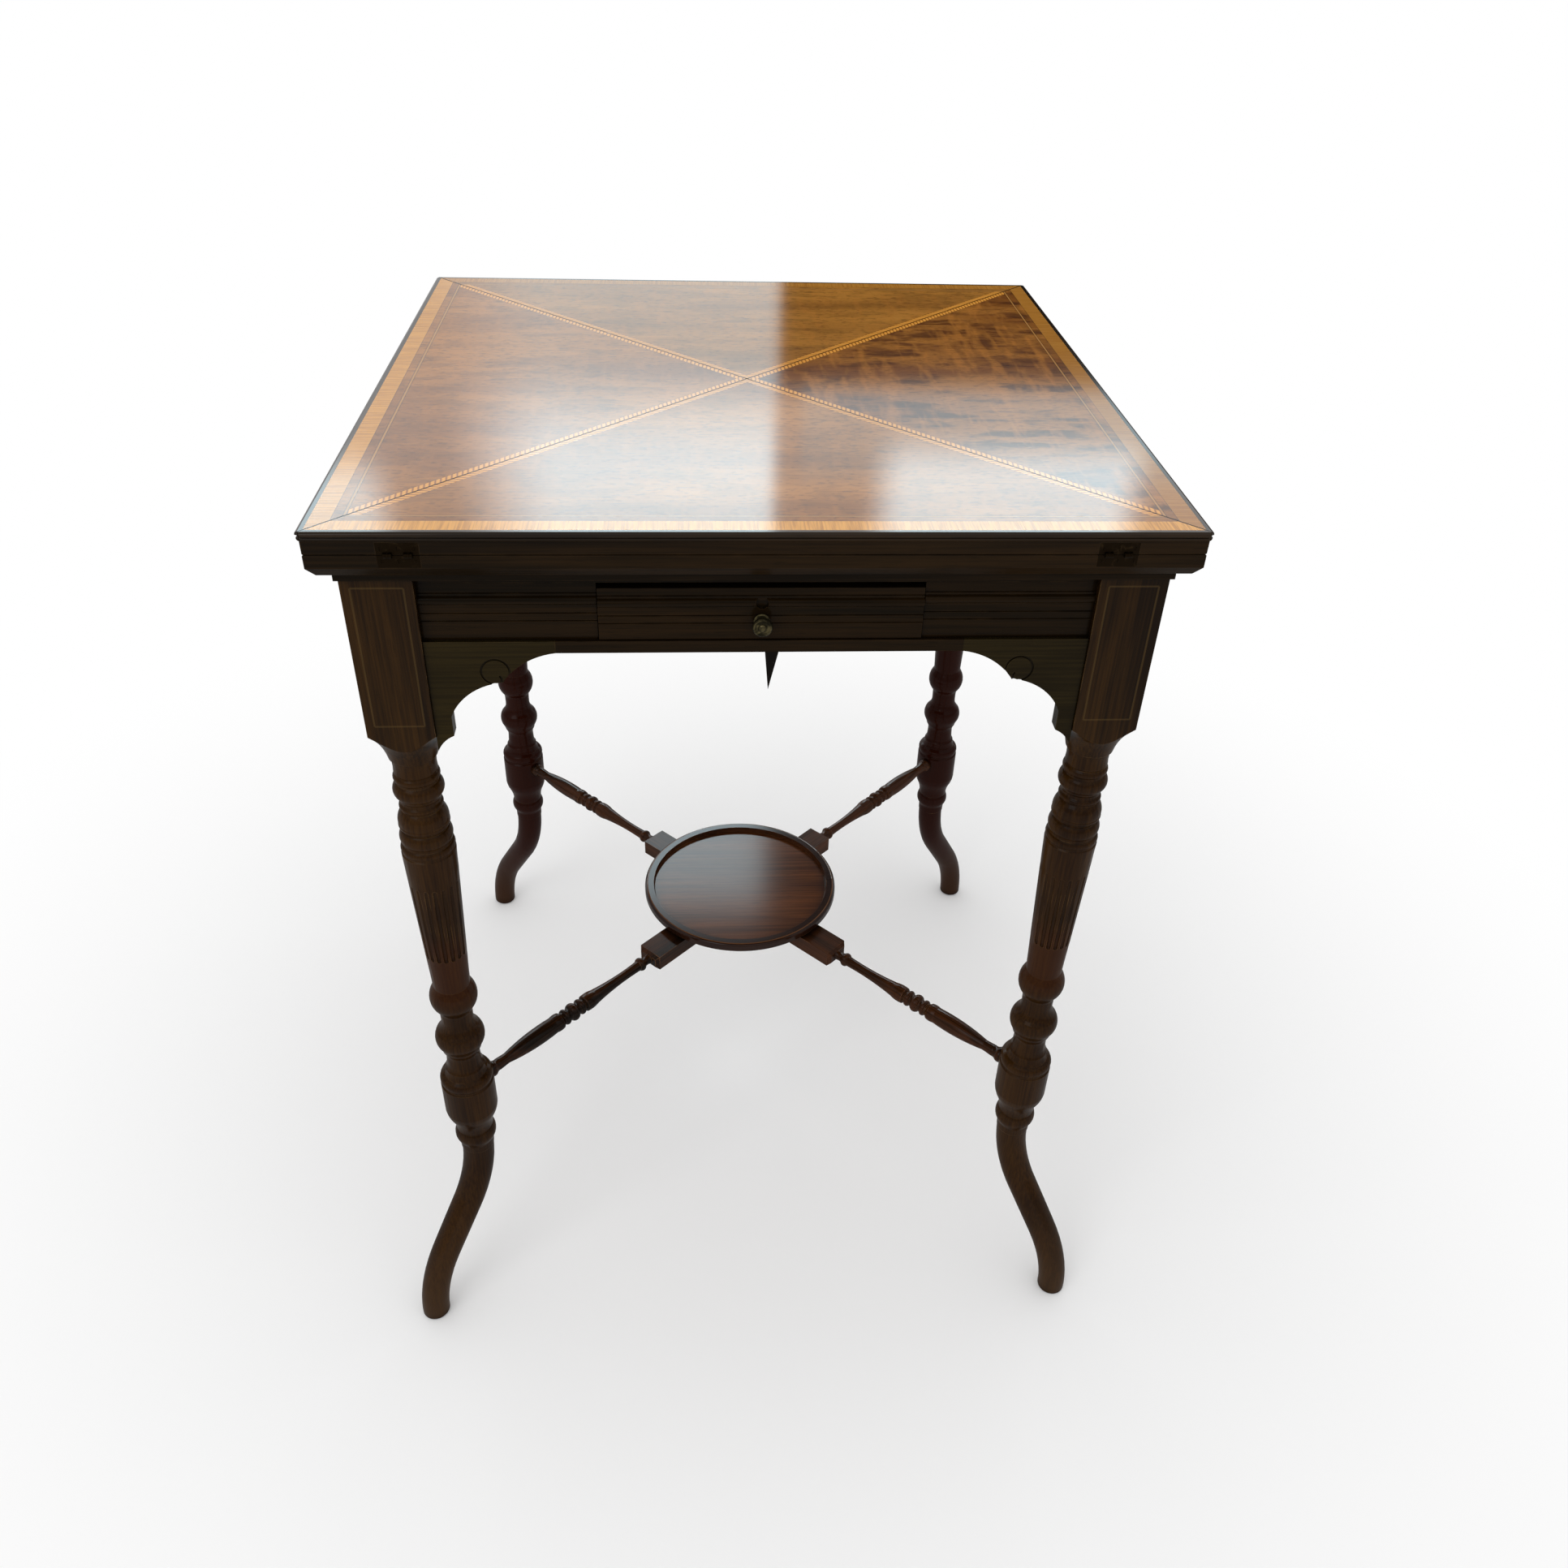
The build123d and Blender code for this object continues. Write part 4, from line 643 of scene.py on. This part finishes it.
def veneered(offset, figure, tint, gold_age):
    """The inlay work of one leaf, from the joints and the field out to the lipping."""

    def inlay(tree, place, grain, colour):
        x, y, z = axes(tree, place)
        out_x = work(tree, "ABSOLUTE", x)
        out_y = work(tree, "ABSOLUTE", y)
        inset = work(tree, "SUBTRACT", half_top, work(tree, "MAXIMUM", out_x, out_y))
        beside = work(tree, "ABSOLUTE", work(tree, "SUBTRACT", out_x, out_y))
        beside = times(tree, beside, math.sqrt(0.5))
        field = figured_veneer(tree, place, offset, figure, tint)
        rope_end = joint_line_width + rope_width
        rope_edge = work(tree, "COMPARE", beside, rope_end, rope_edge_half_width)
        wood = let_in(tree, rope_edge, rope_edge_strength, field, glue_line)
        in_rope = work(tree, "LESS_THAN", beside, rope_end)
        wood = lay(tree, in_rope, wood, rope_pattern(tree, out_x, out_y, beside))
        in_field = work(tree, "GREATER_THAN", inset, string_start + string_width)
        wood = lay(tree, in_field, field, wood)
        string_middle = string_start + string_width / 2
        string_edge = work(tree, "COMPARE", inset, string_middle, string_width)
        wood = let_in(tree, string_edge, string_edge_strength, wood, glue_line)
        string = work(tree, "COMPARE", inset, string_middle, string_width / 2)
        wood = let_in(tree, string, string_strength, wood, string_light)
        band_middle = lipping_width + band_width / 2
        band_edge = work(tree, "COMPARE", inset, band_middle, band_width / 2 + band_edge_width)
        wood = let_in(tree, band_edge, band_edge_strength, wood, glue_line)
        band = work(tree, "COMPARE", inset, band_middle, band_width / 2)
        wood = lay(tree, band, wood, golden_crossband(tree, place, gold_age))
        joint = work(tree, "LESS_THAN", beside, joint_line_width)
        wood = let_in(tree, joint, joint_strength, wood, glue_line)
        lipping = work(tree, "LESS_THAN", inset, lipping_width)
        wood = lay(tree, lipping, wood, colour)
        return lay(tree, work(tree, "GREATER_THAN", z, veneer_level), colour, wood)

    return inlay


leaf_cuts = {
    "front": dict(offset=(0.0, 0.0, 0.0), figure=0.4, tint=stain(152, 100, 40), gold_age=0.0),
    "right": dict(offset=(1.3, 0.2, 0.4), figure=0.9, tint=stain(100, 58, 20), gold_age=0.6),
    "back": dict(offset=(2.1, 0.9, 0.1), figure=0.4, tint=stain(160, 116, 48), gold_age=0.55),
    "left": dict(offset=(3.7, 0.5, 0.8), figure=0.5, tint=stain(150, 96, 40), gold_age=0.2),
}
for side, cut in leaf_cuts.items():
    leaf_wood = make_wood(
        f"leaf_veneer_{side}",
        round_the_frame,
        dark=stain(18, 11, 4),
        light=stain(38, 25, 10),
        worn_and_highlight=stain(84, 64, 38),
        shine=0.0,
        polish=0.36,
        polish_roughness=0.07,
        grime_and_shade=0.5,
        inlay=veneered(**cut),
        face_level=veneer_level,
    )
    dress(leaf_wood, f"leaf_{side}")

# Hinges: brass card-table hinges let into the edges of leaf and board, with their pins and small
# countersunk screws, all gone nearly as dark as the wood.
hinge_brass = make_metal(
    "hinge_brass",
    bright=stain(46, 35, 21),
    dull=stain(28, 20, 11),
    sheen=(0.45, 0.62),
    grit=1.0,
    dullness=(0.25, 0.45),
)
dress(hinge_brass, "board_hinges", "hinge_pins", "board_hinge_screws")
for side in leaf_cuts:
    dress(hinge_brass, f"leaf_hinges_{side}", f"leaf_screws_{side}")

# Floor: a wide plain pale sheet that the table stands on. It keeps the table's shadow, and runs out
# into plain white where it is looked at farther off.
floor_half = 20.0
floor_white = (0.95, 0.95, 0.95, 1)
shadow_reach = 0.3
white_from = 1.2
floor_mesh = bpy.data.meshes.new("floor")
corners = [(-floor_half, -floor_half, 0), (floor_half, -floor_half, 0)]
corners += [(floor_half, floor_half, 0), (-floor_half, floor_half, 0)]
floor_mesh.from_pydata(corners, [], [(0, 1, 2, 3)])
floor = bpy.data.objects.new("floor", floor_mesh)
bpy.context.scene.collection.objects.link(floor)
finish, tree, surface = make_finish("pale_floor")
surface.inputs["Base Color"].default_value = floor_white
surface.inputs["Roughness"].default_value = 0.9
surface.inputs["Specular IOR Level"].default_value = 0.1
x, y, z = axes(tree, put(tree, "TexCoord").outputs["Object"])
far = rise(tree, from_middle_of_table(tree, x, y), shadow_reach, white_from)
ray = put(tree, "LightPath").outputs
looked_at = work(tree, "MAXIMUM", ray["Is Glossy Ray"], ray["Is Transmission Ray"])
looked_at = work(tree, "MAXIMUM", ray["Is Camera Ray"], looked_at)
white = put(tree, "Emission", {"Strength": 1.0}).outputs[0]
blank = times(tree, far, looked_at)
paper = put(tree, "MixShader", {0: blank, 1: surface.outputs[0], 2: white}).outputs[0]
tree.links.new(paper, tree.nodes["Material Output"].inputs["Surface"])
floor_mesh.materials.append(finish)

# Light: an even white studio with a soft panel at the front left. Polish mirrors the wall behind the
# table, with the bright screens and the black one that hang on it. Across and up are places on that
# wall, for each step away.
room_level = 0.9
screen_tint = (0.76, 0.93, 1.0, 1)
white_light = (1, 1, 1, 1)
low_room_level = 0.5
high_room_level = 1.0
low_wall_level = 2.4
middle_wall_level = 3.8
high_wall_level = 2.6
over_wall_level = 0.3
black_screen_level = 0.03
black_screen_edge = 0.068
black_screen_top = 0.345
# Between these pairs of values the mirrored light goes from one level to the next.
rest_of_room_change = (0.1, 0.75)
wall_begins = (0.45, 0.75)
low_wall_change = (0.28, 0.4)
high_wall_change = (0.4, 0.62)
over_wall_change = (0.7, 0.8)
left_screen_begins = (-0.2, -0.1)
least_ahead = 0.05
room = bpy.data.worlds.new("white_studio")
bpy.context.scene.world = room
room.use_nodes = True
tree = room.node_tree
ray_x, ray_y, ray_z = axes(tree, put(tree, "TexCoord").outputs["Generated"])
ahead = work(tree, "MAXIMUM", ray_y, least_ahead)
across_wall = work(tree, "DIVIDE", ray_x, ahead)
up_wall = work(tree, "DIVIDE", ray_z, ahead)


def between(value, low, high, blur):
    """One between two lines on the wall and nothing past them, with soft edges."""
    entered = rise(tree, value, low - blur, low + blur)
    return times(tree, entered, rise(tree, value, high - blur, high + blur, 1, 0))


def screen(across, up, blur):
    """How much of a screen is seen, from its two edges across and its two edges up."""
    return times(tree, between(across_wall, *across, blur), between(up_wall, *up, blur))


upper_wall = rise(tree, up_wall, *high_wall_change, middle_wall_level, high_wall_level)
mirrored = fade(tree, rise(tree, up_wall, *low_wall_change), low_wall_level, upper_wall)
mirrored = fade(tree, rise(tree, up_wall, *over_wall_change), mirrored, over_wall_level)
black_screen = screen(across=(black_screen_edge, 0.9), up=(-0.5, black_screen_top), blur=0.006)
mirrored = fade(tree, black_screen, mirrored, black_screen_level)
left_screen = between(across_wall, -0.4, black_screen_edge, 0.008)
left_screen = times(tree, left_screen, between(up_wall, 0.2, 0.88, 0.04))
left_screen = times(tree, left_screen, rise(tree, across_wall, *left_screen_begins))
low_right_screen = screen(across=(0.09, 0.45), up=(black_screen_top, 0.42), blur=0.006)
right_screen = screen(across=(0.16, 0.37), up=(0.395, 0.74), blur=0.02)
far_left_screen = screen(across=(-0.7, -0.31), up=(0.5, 0.8), blur=0.03)
corner_screen = screen(across=(-0.45, -0.25), up=(0.41, 0.5), blur=0.02)
bright_screens = [
    (left_screen, rise(tree, up_wall, 0.31, 0.42, 4.4, 15)),
    (low_right_screen, 4.6),
    (right_screen, 14),
    (far_left_screen, 12),
    (corner_screen, 12),
]
lit = 0
for seen, level in bright_screens:
    mirrored = fade(tree, seen, mirrored, level)
    lit = work(tree, "MAXIMUM", lit, seen)
rest_of_room = rise(tree, ray_z, *rest_of_room_change, low_room_level, high_room_level)
mirrored = fade(tree, rise(tree, ray_y, *wall_begins), rest_of_room, mirrored)
ray = put(tree, "LightPath").outputs
strength = fade(tree, ray["Is Glossy Ray"], room_level, mirrored)
seen_straight = work(tree, "MAXIMUM", ray["Is Camera Ray"], ray["Is Transmission Ray"])
strength = fade(tree, seen_straight, strength, 1.0)
tinted = times(tree, lit, ray["Is Glossy Ray"])
background = tree.nodes["Background"]
tree.links.new(strength, background.inputs["Strength"])
tree.links.new(lay(tree, tinted, white_light, screen_tint), background.inputs["Color"])
panel_width = 1.8
panel_power = 20
panel_place = Vector((-1.8, -2.2, 2.8))
panel_aimed_at = Vector((0, 0, 0.6))
lamp = bpy.data.lights.new("room_light", "AREA")
lamp.size = panel_width
lamp.energy = panel_power
panel = bpy.data.objects.new("room_light", lamp)
bpy.context.scene.collection.objects.link(panel)
panel.location = panel_place
panel.rotation_euler = (panel_aimed_at - panel_place).to_track_quat("-Z", "Y").to_euler()

# Camera: it stands where the table was looked at from, a little left of its middle and above it, and
# is tipped down, leaned and turned by these degrees.
camera_place = (-0.0442, -0.973, 1.0851)
camera_tilt = 54.08
camera_roll = -1.73
camera_heading = -3.67
lens_length = 29.71
sensor_width = 36
view_data = bpy.data.cameras.new("viewer")
view_data.lens = lens_length
view_data.sensor_width = sensor_width
camera = bpy.data.objects.new("viewer", view_data)
bpy.context.scene.collection.objects.link(camera)
camera.location = camera_place
camera.rotation_euler = Euler([math.radians(turn) for turn in (camera_tilt, camera_roll, camera_heading)])
bpy.context.scene.camera = camera
bpy.context.scene.view_settings.view_transform = "Standard"
